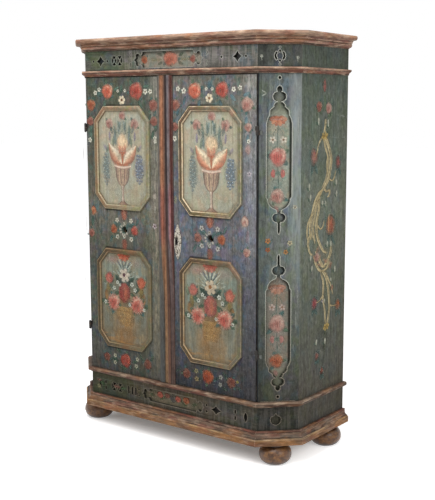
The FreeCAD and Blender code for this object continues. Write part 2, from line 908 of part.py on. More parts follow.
def field_moulding(centre_x, centre_z):
    """Eight mitred lengths around one field."""
    outer = octagon(centre_x, centre_z, 0)
    inner = octagon(centre_x, centre_z, field_border)
    pieces = []
    for index in range(len(outer)):
        after = (index + 1) % len(outer)
        a = V(outer[index][0], y_front, outer[index][1])
        b = V(outer[after][0], y_front, outer[after][1])
        c = V(inner[after][0], y_front, inner[after][1])
        d = V(inner[index][0], y_front, inner[index][1])
        along = (b - a).normalize()
        inwards = V(0, 1, 0).cross(along)
        if inwards.dot(V(centre_x, y_front, centre_z) - a) < 0:
            inwards = inwards * -1
        spare = 2 * field_border

        def place(u, v, a=a, along=along, inwards=inwards, spare=spare):
            return a - along * spare + inwards * u + V(0, -v, 0)

        length = (b - a).Length + 2 * spare
        bar = Part.Face(border_profile(place)).extrude(along * length)
        quad = Part.Face(Part.makePolygon([a, b, c, d, a])).extrude(V(0, -field_rise - overshoot, 0))
        pieces.append(bar.common(quad))
    return pieces


def ledge(side, meeting, z):
    """Batten across the back of a door, bevelled and a little narrower at the meeting edge."""
    hinge_end = side * (arris_x - ledge_hinge_inset)
    meeting_end = meeting + side * ledge_meeting_inset

    def end_profile(x, half):
        inner = half - ledge_bevel
        back = door_back_y + ledge_thickness
        corners = [
            V(x, door_back_y, z - half),
            V(x, door_back_y, z + half),
            V(x, back, z + inner),
            V(x, back, z - inner),
        ]
        return Part.makePolygon(corners + [corners[0]])

    wide = end_profile(hinge_end, ledge_width / 2)
    narrow = end_profile(meeting_end, ledge_width / 2 - ledge_taper / 2)
    return Part.makeLoft([wide, narrow], True, True)


def strip_on_front(profile):
    """A section drawn in x and rise off the door, carried over the door's whole height."""
    def place(x, rise):
        return V(x, y_front - rise, z_door_low)

    return Part.Face(profile(place)).extrude(UP * (z_door_high - z_door_low))


def left_bead_profile(place):
    x0 = left_edge_x - bead_width
    x1 = left_edge_x
    middle = (x0 + x1) / 2
    shoulder = bead_rise * 0.45
    return curve_wire(place, (x0, 0), [
        [(x0, shoulder)],
        [(middle, bead_rise), (x1, shoulder)],
        [(x1, 0)],
        [(x0, 0)],
    ])


def cover_profile(place):
    x0 = right_edge_x
    x1 = x0 + cover_left_flat
    x2 = x1 + cover_crown
    x3 = x2 + cover_right_flat
    flat = cover_flat_rise
    return curve_wire(place, (x0, 0), [
        [(x0, flat)],
        [(x1, flat)],
        [((x1 + x2) / 2, cover_rise), (x2, flat)],
        [(x3, flat)],
        [(x3, 0)],
        [(x0, 0)],
    ])


# ---- hinges ------------------------------------------------------------------------------------
def tube(low, high, bored):
    """Knuckle on the right-hand hinge line, bored for the pin or left solid."""
    knuckle = rod(knuckle_radius, V(hinge_x, hinge_y, low), V(hinge_x, hinge_y, high))
    if not bored:
        return knuckle
    bore = rod(pin_radius + pin_gap, V(hinge_x, hinge_y, low - overshoot), V(hinge_x, hinge_y, high))
    return knuckle.cut(bore)


def knuckle_end(z, direction):
    return Part.makeCone(knuckle_radius, knuckle_tip_radius, knuckle_tip, V(hinge_x, hinge_y, z), UP * direction)


def hinge_levels(z):
    half = hinge_height / 2
    low = z - half + knuckle_tip
    high = z + half - knuckle_tip
    return low, z - knuckle_gap / 2, z + knuckle_gap / 2, high


def pintle(z):
    """Fixed half: a leaf on the canted corner, the lower knuckle and the pin."""
    low, split_low, split_high, high = hinge_levels(z)
    back_reach = -mitre_dir.dot(cant_dir) * hinge_standoff
    plan = []
    for along, reach in ((-back_reach, 0), (cant_leaf_width, 0),
                         (cant_leaf_width, leaf_thickness), (-back_reach, leaf_thickness)):
        point = face_point("cant", along, reach, 0)
        plan.append((point.x, point.y))
    leaf = prism(plan, low, split_low)
    pin_top = high - knuckle_tip / 2
    pin = rod(pin_radius, V(hinge_x, hinge_y, low), V(hinge_x, hinge_y, pin_top))
    return tube(low, split_low, False).multiFuse([leaf, pin, knuckle_end(low, -1)]).removeSplitter()


def strap(z):
    """Swinging half: a leaf on the door's front and the upper knuckle, bored from below."""
    low, split_low, split_high, high = hinge_levels(z)
    leaf = box(hinge_x - door_leaf_width, hinge_x, y_front - leaf_thickness, y_front, split_high, high)
    cap = rod(knuckle_radius, V(hinge_x, hinge_y, high - knuckle_tip / 2), V(hinge_x, hinge_y, high))
    barrel = tube(split_high, high - knuckle_tip / 2, True)
    return barrel.multiFuse([leaf, cap, knuckle_end(high, 1)]).removeSplitter()


# ---- lock, keeper and bolts ----------------------------------------------------------------------
def lock_case():
    """Box lock on the back of the right door: open to the door, slotted for the bolt."""
    z0 = lock_z - lock_height / 2
    z1 = lock_z + lock_height / 2
    x1 = lock_x + lock_width
    y1 = door_back_y + lock_depth
    wall = lock_wall
    case = box(lock_x, x1, door_back_y, y1, z0, z1)
    hollow = box(lock_x + wall, x1 - wall, door_back_y - overshoot, y1 - wall, z0 + wall, z1 - wall)
    reach = bolt_height / 2 + slide_gap
    slot_low = bolt_y - slide_gap
    slot_high = bolt_y + bolt_depth + slide_gap
    mouth = box(lock_x - overshoot, lock_x + wall + overshoot, slot_low, slot_high, bolt_z - reach, bolt_z + reach)
    guide_x = lock_x + bolt_tip_inset + bolt_length - 2 * guide_width
    case = case.cut([hollow, mouth])
    guides = []
    for low, high in ((bolt_z - reach - guide_width, bolt_z - reach), (bolt_z + reach, bolt_z + reach + guide_width)):
        guides.append(box(guide_x, guide_x + guide_width, bolt_y, y1 - wall, low, high))
    return case.multiFuse(guides).removeSplitter()


def lock_bolt():
    """Flat bolt with a notch on its lower edge for the key."""
    x0 = lock_x + bolt_tip_inset
    half = bolt_height / 2
    bar = box(x0, x0 + bolt_length, bolt_y, bolt_y + bolt_depth, bolt_z - half, bolt_z + half)
    notch = rod(bolt_notch, V(keyhole_x, bolt_y - overshoot, bolt_z - half),
                V(keyhole_x, bolt_y + bolt_depth + overshoot, bolt_z - half))
    return bar.cut(notch)


def lock_keeper():
    """Bridge on the back of the left door that the lock's bolt slides under."""
    x1 = left_edge_x - keeper_inset
    x0 = x1 - keeper_width
    clear = bolt_height / 2 + slide_gap
    legs = clear + keeper_wall
    under = bolt_y + bolt_depth + slide_gap
    foot_top = door_back_y + keeper_wall
    outer = box(x0, x1, door_back_y, under + keeper_wall, bolt_z - legs, bolt_z + legs)
    feet = box(x0, x1, door_back_y, foot_top, bolt_z - legs - keeper_foot, bolt_z + legs + keeper_foot)
    tunnel = box(x0 - overshoot, x1 + overshoot, door_back_y - overshoot, under, bolt_z - clear, bolt_z + clear)
    return outer.fuse(feet).cut(tunnel).removeSplitter()


def escutcheon():
    """Pointed oval plate with the keyhole."""
    def place(u, v):
        return V(escutcheon_x + u, y_front, lock_z + v)

    half = escutcheon_height / 2
    steps = [[(escutcheon_width / 2, 0), (0, -half)], [(-escutcheon_width / 2, 0), (0, half)]]
    plate = Part.Face(curve_wire(place, (0, half), steps)).extrude(V(0, -escutcheon_thickness, 0))
    return plate.cut(keyhole(y_front - escutcheon_thickness - overshoot, y_front + overshoot))


def slide_bolt_geometry():
    x = left_edge_x - ledge_meeting_inset - slide_bolt_inset
    y = rail_back_y + slide_gap
    top = z_frieze - rail_drop - bolt_rest_gap
    return x, y, top


def left_door_bolt():
    """Upright bolt with a knob, at rest just below the rail it catches behind."""
    x, y, top = slide_bolt_geometry()
    half = slide_bolt_width / 2
    bar = box(x - half, x + half, y, y + slide_bolt_depth, top - slide_bolt_length, top)
    knob_z = top - slide_bolt_length + slide_bolt_knob_rise
    start = V(x, y + slide_bolt_depth / 2, knob_z)
    stem = rod(slide_bolt_knob_radius * 0.6, start, start + V(0, slide_bolt_knob_length, 0))
    knob_start = start + V(0, slide_bolt_knob_length * 0.6, 0)
    knob = Part.makeCone(slide_bolt_knob_radius * 0.7, slide_bolt_knob_radius,
                         slide_bolt_knob_length * 0.4, knob_start, V(0, 1, 0))
    return bar.multiFuse([stem, knob]).removeSplitter()


def left_door_bolt_plate():
    """Plate on the top ledge with the two staples that guide the upright bolt."""
    x, y, top = slide_bolt_geometry()
    ledge_back = door_back_y + ledge_thickness
    half = ledge_width / 2 - ledge_bevel - ledge_taper / 2
    z0 = ledge_heights[-1] - half
    z1 = ledge_heights[-1] + half
    plate_half = bolt_plate_width / 2
    plate_y = y - slide_gap
    plate = box(x - plate_half, x + plate_half, ledge_back, plate_y, z0, z1)
    clear = slide_bolt_width / 2 + slide_gap
    under = y + slide_bolt_depth + slide_gap
    reach = clear + staple_wall
    pieces = []
    for low in (z0 + staple_inset, z1 - staple_inset - staple_height):
        high = low + staple_height
        arch = box(x - reach, x + reach, plate_y, under + staple_wall, low, high)
        pieces.append(arch.cut(box(x - clear, x + clear, plate_y, under, low, high)))
    return plate.multiFuse(pieces).removeSplitter()


# ---- the cupboard ----------------------------------------------------------------------------------
def build():
    nodes = {}
    for name, (x, y) in foot_places().items():
        nodes[name] = [bun_foot(x, y)]
    nodes["base_frame"] = base_frame()
    add_moulding(nodes, "base_moulding", base_profile, 0, base_reach, foot_height, base_moulding_height)

    plinth_cant = mitred_board("cant", ground_reach, -fret_thickness, z_plinth_low, z_plinth_top)
    plinth_side = mitred_board("side", -side_thickness, 0, z_plinth_low, z_plinth_top)
    nodes["plinth_front"] = [mitred_board("front", ground_reach, -fret_thickness, z_plinth_low, z_plinth_top)]
    nodes["plinth_right"] = [plinth_cant, plinth_side]
    nodes["plinth_left"] = [mirrored(plinth_cant), mirrored(plinth_side)]
    rail_x = half_width - side_thickness
    nodes["plinth_back"] = [box(-rail_x, rail_x, y_back - rear_rail_thickness, y_back, z_plinth_low, z_plinth_top)]
    corner = plinth_cant_fretwork()
    nodes["plinth_fretwork"] = [mirrored(corner), plinth_fretwork(), corner]

    add_moulding(nodes, "waist_moulding", waist_profile, -waist_inner_reach, waist_reach, z_plinth_top, waist_height)
    rail_x = half_width - waist_inner_reach
    nodes["waist_rail_back"] = [
        box(-rail_x, rail_x, y_back - waist_inner_reach, y_back, z_plinth_top, z_door_zone),
    ]
    nodes["floor_board"] = [
        prism(inner_outline(rail_front_y, 0), z_door_zone, z_door_zone + floor_thickness),
    ]

    side = mitred_board("side", -side_thickness, 0, z_door_zone, z_cornice)
    cant = mitred_board("cant", ground_reach, -fret_thickness, z_door_zone, z_cornice)
    fret = cant_fretwork()
    for name, piece in (("side", side), ("cant_board", cant), ("cant_fretwork", fret)):
        nodes[name + "_left"] = [mirrored(piece)]
        nodes[name + "_right"] = [piece]
    nodes["back_planks"] = back_planks()
    for name, top in zip(("lower", "middle", "upper"), shelf_heights):
        nodes["shelf_" + name] = [shelf(top)]
    nodes["shelf_cleats"] = shelf_cleats()

    nodes["top_rail"] = [top_rail()]
    nodes["frieze_front"] = [mitred_board("front", ground_reach, -fret_thickness, z_frieze, z_cornice)]
    nodes["frieze_fretwork"] = [frieze_fretwork()]
    add_moulding(nodes, "upper_moulding", upper_profile, 0, upper_reach, z_frieze, upper_moulding_height)
    nodes["top_board"] = [top_board()]
    add_moulding(nodes, "cornice", cornice_profile, -cornice_seat, cornice_reach, z_cornice, cornice_height)

    for name, side_sign, meeting, vent_x, field_x in (
        ("left_door", -1, left_edge_x, left_vent_x, left_field_x),
        ("right_door", 1, right_edge_x, right_vent_x, right_field_x),
    ):
        nodes[name + "_leaf"] = [door_leaf(side_sign, meeting, vent_x)]
        nodes[name + "_upper_moulding"] = field_moulding(field_x, upper_field_z)
        nodes[name + "_lower_moulding"] = field_moulding(field_x, lower_field_z)
        nodes[name + "_ledges"] = [ledge(side_sign, meeting, z) for z in ledge_heights]
    nodes["left_door_bead"] = [strip_on_front(left_bead_profile)]
    nodes["right_door_cover_strip"] = [strip_on_front(cover_profile)]

    pintles = [pintle(z) for z in hinge_heights]
    straps = [strap(z) for z in hinge_heights]
    nodes["hinge_pintles"] = pintles + [mirrored(piece) for piece in pintles]
    nodes["right_door_hinge_straps"] = straps
    nodes["left_door_hinge_straps"] = [mirrored(piece) for piece in straps]

    nodes["lock_case"] = [lock_case()]
    nodes["lock_bolt"] = [lock_bolt()]
    nodes["lock_keeper"] = [lock_keeper()]
    nodes["escutcheon"] = [escutcheon()]
    nodes["left_door_bolt"] = [left_door_bolt()]
    nodes["left_door_bolt_plate"] = [left_door_bolt_plate()]
    return nodes


os.makedirs("parts", exist_ok=True)
for node_name, solids in build().items():
    shape = solids[0] if len(solids) == 1 else Part.makeCompound(solids)
    shape.exportStep("parts/" + node_name + ".step")
    print(node_name, len(solids), round(shape.Volume), shape.isValid())
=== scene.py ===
"""Painted cupboard with canted corners: the finishes of its boards, mouldings and iron, the
flowers, fruit and scrolls painted on its faces, and the floor, light and camera around it.
Sizes are millimetres; MM turns them into the metres of the objects."""
import bpy
import math
import numpy as np
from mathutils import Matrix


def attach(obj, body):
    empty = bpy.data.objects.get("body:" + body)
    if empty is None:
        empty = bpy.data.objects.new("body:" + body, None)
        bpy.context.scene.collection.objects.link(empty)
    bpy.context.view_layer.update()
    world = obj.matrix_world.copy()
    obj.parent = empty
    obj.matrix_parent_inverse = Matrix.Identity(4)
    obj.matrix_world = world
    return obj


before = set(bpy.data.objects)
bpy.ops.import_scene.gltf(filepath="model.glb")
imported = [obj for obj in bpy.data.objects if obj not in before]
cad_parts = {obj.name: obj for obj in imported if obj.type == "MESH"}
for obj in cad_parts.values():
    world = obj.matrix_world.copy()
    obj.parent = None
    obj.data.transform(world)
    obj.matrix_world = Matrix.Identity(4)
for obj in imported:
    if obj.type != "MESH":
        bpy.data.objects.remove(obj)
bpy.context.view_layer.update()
MM = 0.001

# ---- the cupboard's own planes, as its construction has them ------------------------------
FRONT_Y = -224.5            # the face of the doors and of the fretwork
ARRIS_X = 482               # where the front meets the canted corners
HALF_WIDTH = 611            # over the sides
CANT_ALONG = (0.7181, 0.6959)    # the way along the right cant, as x and y
CANT_OUT = (CANT_ALONG[1], -CANT_ALONG[0])
CANT_LENGTH = 179.63
CANT_START = 189.9          # how far along its own way a cant begins
FRET_DEEP = 14              # fretwork's thickness
DOOR_TOP = 1633
FIELD_HALF = (168, 233)     # half the breadth and height of a field
FIELD_CUT = (60, 66)        # what its slanted corners take off
UPPER_Z, LOWER_Z = 1272, 626    # the middles of the fields
LEFT_FIELD_X, RIGHT_FIELD_X = -263, 240
SCROLL_Y = 26               # how far back the side's scroll is moved
SWELL, SWELL_Z, SWELL_HALF = 30, 1010, 130    # how far, where and how high it leans forward
VENT_Z = 947.5              # the round hole of a door
KEYHOLE_X, KEYHOLE_Z = 52, 922
HINGE_LEAF_Y = -200         # the fixed hinge leaves lie before it
WINDOWS_Z = 943.25          # halfway between the two long windows of a cant
WINDOW_REACH, WINDOW_HALF, LOBE_REACH = 342, 196, 590    # from there to a window, half of it, to the lobes
FRIEZE_Z, PLINTH_Z = 1702, 199    # the middles of their openings
MIDDLE_Y = 60               # a depth inside the case, from which a face looks out or in
SIDE_JOINT_Y = 152          # where two boards of a side meet
PLANK_JOINTS = (-353.7, -117.9, 117.9, 353.7)    # across the back
FLOOR_Z, TOP_Z, PLANKS_Y = 276, 1746.5, 259.5    # foot, head and depth of those joints


def paint(code):
    """A colour written as six hexadecimal digits, as the linear light that shaders take."""
    parts = [int(code[i:i + 2], 16) / 255 for i in (0, 2, 4)]
    return tuple(c / 12.92 if c <= 0.04045 else ((c + 0.055) / 1.055) ** 2.4 for c in parts) + (1,)


# ---- shader writing --------------------------------------------------------------------------
def by_node(operation, swapped=False):
    """An operator on wires that adds one Math node."""
    if swapped:
        return lambda self, other: self.finish.maths(operation, other, self)
    return lambda self, other: self.finish.maths(operation, self, other)


class Wire:
    """One output of a node; sums and products written with it add Math nodes to its finish."""

    def __init__(self, finish, socket):
        self.finish, self.socket = finish, socket

    __add__ = __radd__ = by_node("ADD")
    __mul__ = __rmul__ = by_node("MULTIPLY")
    __sub__, __rsub__ = by_node("SUBTRACT"), by_node("SUBTRACT", True)
    __truediv__, __rtruediv__ = by_node("DIVIDE"), by_node("DIVIDE", True)

    def __abs__(self):
        return self.finish.maths("ABSOLUTE", self)


class Finish:
    """A material's node tree, or the world's, with the few moves that a decorative painter needs."""

    def __init__(self, name, kind=bpy.data.materials):
        self.material = kind.new(name)
        self.material.use_nodes = True
        self.tree = self.material.node_tree
        self.tree.nodes.clear()
        self.place = self.node("ShaderNodeVectorMath", {"operation": "MULTIPLY"},
            {0: self.node("ShaderNodeTexCoord", out="Object"), 1: (1 / MM, 1 / MM, 1 / MM)})
        self.x, self.y, self.z = self.apart(self.place)
        self.facing = self.node("ShaderNodeNewGeometry", out="Normal")
        self.nx, self.ny, _ = self.apart(self.node("ShaderNodeTexCoord", out="Normal"))

    def apart(self, vector):
        """The three numbers of a vector."""
        split = self.node("ShaderNodeSeparateXYZ", {}, {0: vector}, out=None)
        return [Wire(self, socket) for socket in split.outputs]

    def node(self, kind, settings=(), sockets=(), out=0):
        """Adds a node of that type: its settings first, then its sockets' values or links."""
        made = self.tree.nodes.new(kind)
        for key, value in dict(settings).items():
            if key == "stops":
                stops = made.color_ramp.elements
                while len(stops) > 1:
                    stops.remove(stops[-1])
                for index, (at, colour) in enumerate(value):
                    stop = stops[0] if index == 0 else stops.new(at)
                    stop.position, stop.color = at, colour
            else:
                setattr(made, key, value)
        for key, value in dict(sockets).items():
            if isinstance(value, Wire):
                self.tree.links.new(value.socket, made.inputs[key])
            else:
                made.inputs[key].default_value = value
        return made if out is None else Wire(self, made.outputs[out])

    def maths(self, operation, *values):
        return self.node("ShaderNodeMath", {"operation": operation}, dict(enumerate(values)))

    def lowest(self, a, b):
        return self.maths("MINIMUM", a, b)

    def highest(self, a, b):
        return self.maths("MAXIMUM", a, b)

    def rise(self, value, low, high):
        """0 at low, 1 at high, smooth between; low may be the larger of the two."""
        return self.node("ShaderNodeMapRange", {"interpolation_type": "SMOOTHSTEP"},
                         {"Value": value, "From Min": low, "From Max": high})

    def band(self, value, middle, half, soft):
        """1 within half of middle, 0 further away than half plus soft."""
        return self.rise(abs(value - middle), half + soft, half)

    def cloud(self, size, stretch=(1, 1, 1), detail=4, rough=0.55, twist=0, seed=0):
        """Cloudy variation around 0.5, its blobs about size mm across and stretched along the axes."""
        spot = self.node("ShaderNodeMapping", {}, {
            "Vector": self.place, "Location": (seed * 7.3, seed * 3.1, seed * 5.7),
            "Scale": tuple(1 / (size * s) for s in stretch)})
        return self.node("ShaderNodeTexNoise", {}, {
            "Vector": spot, "Scale": 1, "Detail": detail, "Roughness": rough, "Distortion": twist})

    def patch(self, size, low, high, stretch=(1, 1, 1), **more):
        """Patches from 0 to 1 cut out of a cloud between the two levels."""
        return self.rise(self.cloud(size, stretch, **more), low, high)

    def over(self, below, above, mask, way="MIX"):
        """One coat of colour over another where the mask says so."""
        return self.node("ShaderNodeMix", {"data_type": "RGBA", "blend_type": way},
                         {0: mask, 6: below, 7: above}, out=2)

    def by_height(self, steps):
        """A colour for each height in steps, blended between them, with cloudy borders."""
        low, high = steps[0][0], steps[-1][0]
        height = (self.z + (self.cloud(150, seed=50) - 0.5) * 260 - low) / (high - low)
        stops = [((z - low) / (high - low), paint(code)) for z, code in steps]
        return self.node("ShaderNodeValToRGB", {"stops": stops}, {"Fac": height})

    def tint(self, colour, *layers):
        """Glazes over a colour: each is a multiplier for red, green and blue, and a mask."""
        for glaze, mask in layers:
            colour = self.over(colour, glaze + (1,), mask, "MULTIPLY")
        return colour

    def mottle(self, colour, size, amount, stretch=(1, 1, 1), seed=0):
        """Lighter and darker blotches about size mm across, as uneven old paint has."""
        blotch = self.cloud(size, stretch, detail=8, rough=0.74, seed=seed)
        return self.over(colour, self.highest(1 + (blotch - 0.5) * amount, 0.2), 1, "MULTIPLY")

    def coats(self, ground, *layers):
        """Several coats, each a colour and a mask, over a ground colour."""
        for colour, mask in layers:
            ground = self.over(ground, paint(colour) if isinstance(colour, str) else colour, mask)
        return ground

    def arris(self, radius, low=0.985, high=0.86):
        """1 along sharp edges: how far a normal rounded over radius mm leans from the true one."""
        round_normal = self.node("ShaderNodeBevel", {"samples": 6}, {"Radius": radius * MM})
        lean = self.node("ShaderNodeVectorMath", {"operation": "DOT_PRODUCT"},
                         {0: round_normal, 1: self.facing}, out="Value")
        return self.rise(lean, low, high)

    def recess(self, distance):
        """1 in corners and hollows, 0 on open faces: the sky hidden within distance mm. The finishes paint
        shade into hollows with it.
        """
        return 1 - self.node("ShaderNodeAmbientOcclusion", {"samples": 6}, {"Distance": distance * MM},
            out="AO")

    def outward(self, low=0, high=20):
        """1 on faces that look away from the middle of the case, 0 on those that look into it."""
        return self.rise(self.x * self.nx + (self.y - MIDDLE_Y) * self.ny, low, high)

    def across_cant(self):
        """Millimetres along a canted corner, from the arris by the door to the one by the side."""
        return abs(self.x) * CANT_ALONG[0] + self.y * CANT_ALONG[1] - CANT_START

    def shown(self):
        """1 for the rays that show the white room itself: to the eye, in gloss and through glass."""
        eye, gloss, glass = [self.node("ShaderNodeLightPath", out="Is %s Ray" % way)
                             for way in ("Camera", "Glossy", "Transmission")]
        return self.highest(self.highest(eye, gloss), glass)

    def finish(self, colour, rough, height, depth=0.4, coat=0, metal=0, sheen=0.12, alpha=1):
        """Joins colour, roughness and a bump of that many millimetres to the shader."""
        bump = self.node("ShaderNodeBump", {}, {"Strength": 1, "Distance": depth * MM, "Height": height})
        shader = self.node("ShaderNodeBsdfPrincipled", {},
            {"Base Color": colour, "Roughness": rough, "Normal": bump, "Metallic": metal,
            "Coat Weight": coat, "Coat Roughness": 0.22, "Specular IOR Level": sheen, "Alpha": alpha})
        self.node("ShaderNodeOutputMaterial", {}, {"Surface": shader}, out=None)
        return self.material


def along(axis, length=40, across=1):
    """The stretch of a grain that runs along one axis."""
    return tuple(length if a == axis else across for a in "xyz")


def bare_wood_coats(f, axis):
    """Unpainted aged softwood: early and late wood in long bands along the axis, and darker pores."""
    rings = f.cloud(16, along(axis, 24), detail=3, twist=1.2, seed=3)
    late = f.rise(f.maths("PINGPONG", rings * 9, 0.5), 0.12, 0.5)
    pores = f.patch(1.3, 0.56, 0.72, along(axis, 42), detail=3)
    dirt = f.patch(160, 0.42, 0.72, seed=9)
    colour = f.coats(paint("a8855c"), ("7d5a38", late * 0.55), ("57402b", pores * 0.6),
        ("6b5845", dirt * 0.5))
    return colour, late, pores


# glazes: what they leave of red, green and blue
BLUE, TEAL, VIOLET = (0.78, 0.98, 1.2), (0.66, 1.02, 1.02), (1.04, 0.93, 1.16)
MOSS_GLAZE, RUST_GLAZE = (0.98, 1.06, 0.78), (1.22, 0.92, 0.74)


def green_ground(f, upright, steps, clouds=1):
    """Aged paint of the carcass: grey-green, streaked along the boards, darker and browner low down,
    partly as painted shade of the light that falls off towards the floor, rubbed pale in scratches,
    with bluish and mossy clouds."""
    axis = "z" if upright else "x"
    streak = f.patch(7, 0.42, 0.64, along(axis, 22), detail=6)
    scratch = f.patch(2.2, 0.66, 0.74, along(axis, 70), detail=3, seed=4)
    scuff = f.patch(2.4, 0.66, 0.74, tuple(30 if a != axis else 1 for a in "xyz"), detail=3, seed=14)
    colour = f.tint(f.by_height(steps),
        (BLUE, f.patch(46, 0.5, 0.62, along(axis, 1.8), seed=2) * 0.75 * clouds),
        (MOSS_GLAZE, f.patch(58, 0.48, 0.62, along(axis, 1.6), seed=5) * 0.9 * clouds),
        (VIOLET, f.patch(40, 0.52, 0.64, along(axis, 2), seed=8) * 0.8 * clouds),
        ((0.74, 0.74, 0.72), streak * 0.7))
    colour = f.mottle(f.mottle(colour, 16, 2.4, along(axis, 1.8), 3), 4, 1.7, along(axis, 2.4), 6)
    colour = f.coats(colour, ("9aa097", scratch * 0.4), ("8d9389", scuff * 0.3),
        ("2f302b", f.patch(10, 0.62, 0.72, detail=6, seed=31) * 0.45))
    return colour, streak, scratch


# ---- finishes ----------------------------------------------------------------------------------
# heights and colours of the green paint: the darker low steps are partly painted shade of the light that
# falls off towards the floor
SIDE_STEPS = [(110, "413e38"), (260, "524e45"), (420, "585850"), (700, "62655a"), (1020, "72776a"),
    (1300, "6a7064"), (1560, "5c645a"), (1760, "51574f")]
CANT_STEPS = [(115, "3a3938"), (250, "45443f"), (330, "484943"), (560, "585b54"), (900, "656a64"),
    (1300, "676c68"), (1600, "5f6462"), (1640, "484a46"), (1750, "4a4c47")]
BEAM_STEPS = [(115, "3b3a33"), (252, "4c483c"), (600, "6a675c"), (1640, "605e57"), (1700, "65645f"),
    (1750, "57584f")]


def carcass_finish():
    """Painted on the face that looks outwards, bare wood on the face that looks inwards."""
    f = Finish("carcass_green_upright")
    painted, streak, scratch = green_ground(f, True, SIDE_STEPS, 0.45)
    bare, _, pores = bare_wood_coats(f, "z")
    rub = f.arris(3) * f.patch(22, 0.42, 0.62, (1, 1, 4), seed=6)
    # hairline cracks where two boards of a side are joined, worn front edge, darker and browner towards the
    # back edge
    joint = f.band(f.y + f.cloud(60, (1, 1, 5)) * 3, SIDE_JOINT_Y, 0.5, 0.8) * abs(f.nx)
    worn = f.rise(f.y, -86, -104) * f.patch(9, 0.46, 0.6, (1, 1, 9), detail=6, seed=41)
    wall = f.tint(painted, ((0.74, 0.68, 0.62), f.rise(f.y, 160, 262) * 0.55))
    wall = f.coats(wall, ("848f8a", worn * f.rise(f.z, 500, 900) * 0.4), ("2f322d", joint * 0.8),
        ("8c8474", rub * 0.7))
    colour = f.over(bare, wall, f.outward())
    rough = 0.62 + 0.18 * streak - 0.12 * rub
    height = streak * 0.5 + scratch * -0.6 + pores * -0.5 - joint * 2
    return f.finish(colour, rough, height, 0.35)


def window_ground_finish():
    """Boards behind the pierced fretwork: dark green, and within the long windows and the front's
    two cartouches a paler, duller ground that the flowers stand on. Painted shade darkens it along every cut,
    and a painted shadow runs down the inner right side of each long window."""
    f = Finish("ground_behind_fretwork")
    painted, streak, scratch = green_ground(f, True, CANT_STEPS)
    bare, _, pores = bare_wood_coats(f, "z")
    panes = f.band(abs(f.z - WINDOWS_Z), WINDOW_REACH, WINDOW_HALF, 16) * f.rise(abs(f.nx), 0.3, 0.5)
    low = f.rise(f.z, 960, 900)
    frieze = f.band(f.z, FRIEZE_Z, 32, 4) * f.band(f.x, 10, 196, 8) * f.rise(f.ny, -0.5, -0.9)
    plinth = f.band(f.z, PLINTH_Z, 28, 4) * f.band(f.x, 18, 182, 8) * f.rise(f.ny, -0.5, -0.9)
    mist = f.patch(34, 0.4, 0.62, (1, 1, 1.8), seed=1)
    glass = f.over(f.over(paint("84897d"), paint("969a8c"), mist), paint("7d776c"), low)
    glass = f.tint(glass, (RUST_GLAZE, f.patch(40, 0.48, 0.62, seed=12) * 0.5),
        (TEAL, f.patch(30, 0.52, 0.64, seed=16) * 0.5))
    beam = f.over(paint("9a8d7e"), paint("868a7e"), mist)
    foot = f.over(paint("776b58"), paint("625e4c"), mist)
    wall = f.coats(painted, (glass, panes * 0.85), (beam, frieze * 0.9), (foot, plinth * 0.9))
    wall = f.mottle(wall, 8, 1.6, seed=18)
    across = f.across_cant()
    lobes = f.band(abs(f.z - WINDOWS_Z), LOBE_REACH, 60, 8) * f.rise(abs(f.nx), 0.3, 0.5)
    # painted shadow: a black line down the inner right side of each long window
    wall = f.coats(wall, ("7c7c68", lobes * 0.5), ("14150f", f.rise(across, 130, 137) * panes * 0.8))
    # painted shade in the hollows along every cut, weaker on the face-on boards of the frieze and plinth
    beams = f.rise(f.ny, -0.9, -0.98)
    wall = f.over(wall, paint("14150f"),
        f.rise(f.recess(20), 0.18, 0.62) * (0.94 - 0.5 * f.highest(frieze, plinth) - 0.34 * beams))
    colour = f.over(bare, wall, f.outward())
    return f.finish(colour, 0.66 + 0.15 * streak, streak * 0.5 - scratch * 0.5 - pores * 0.4, 0.3)


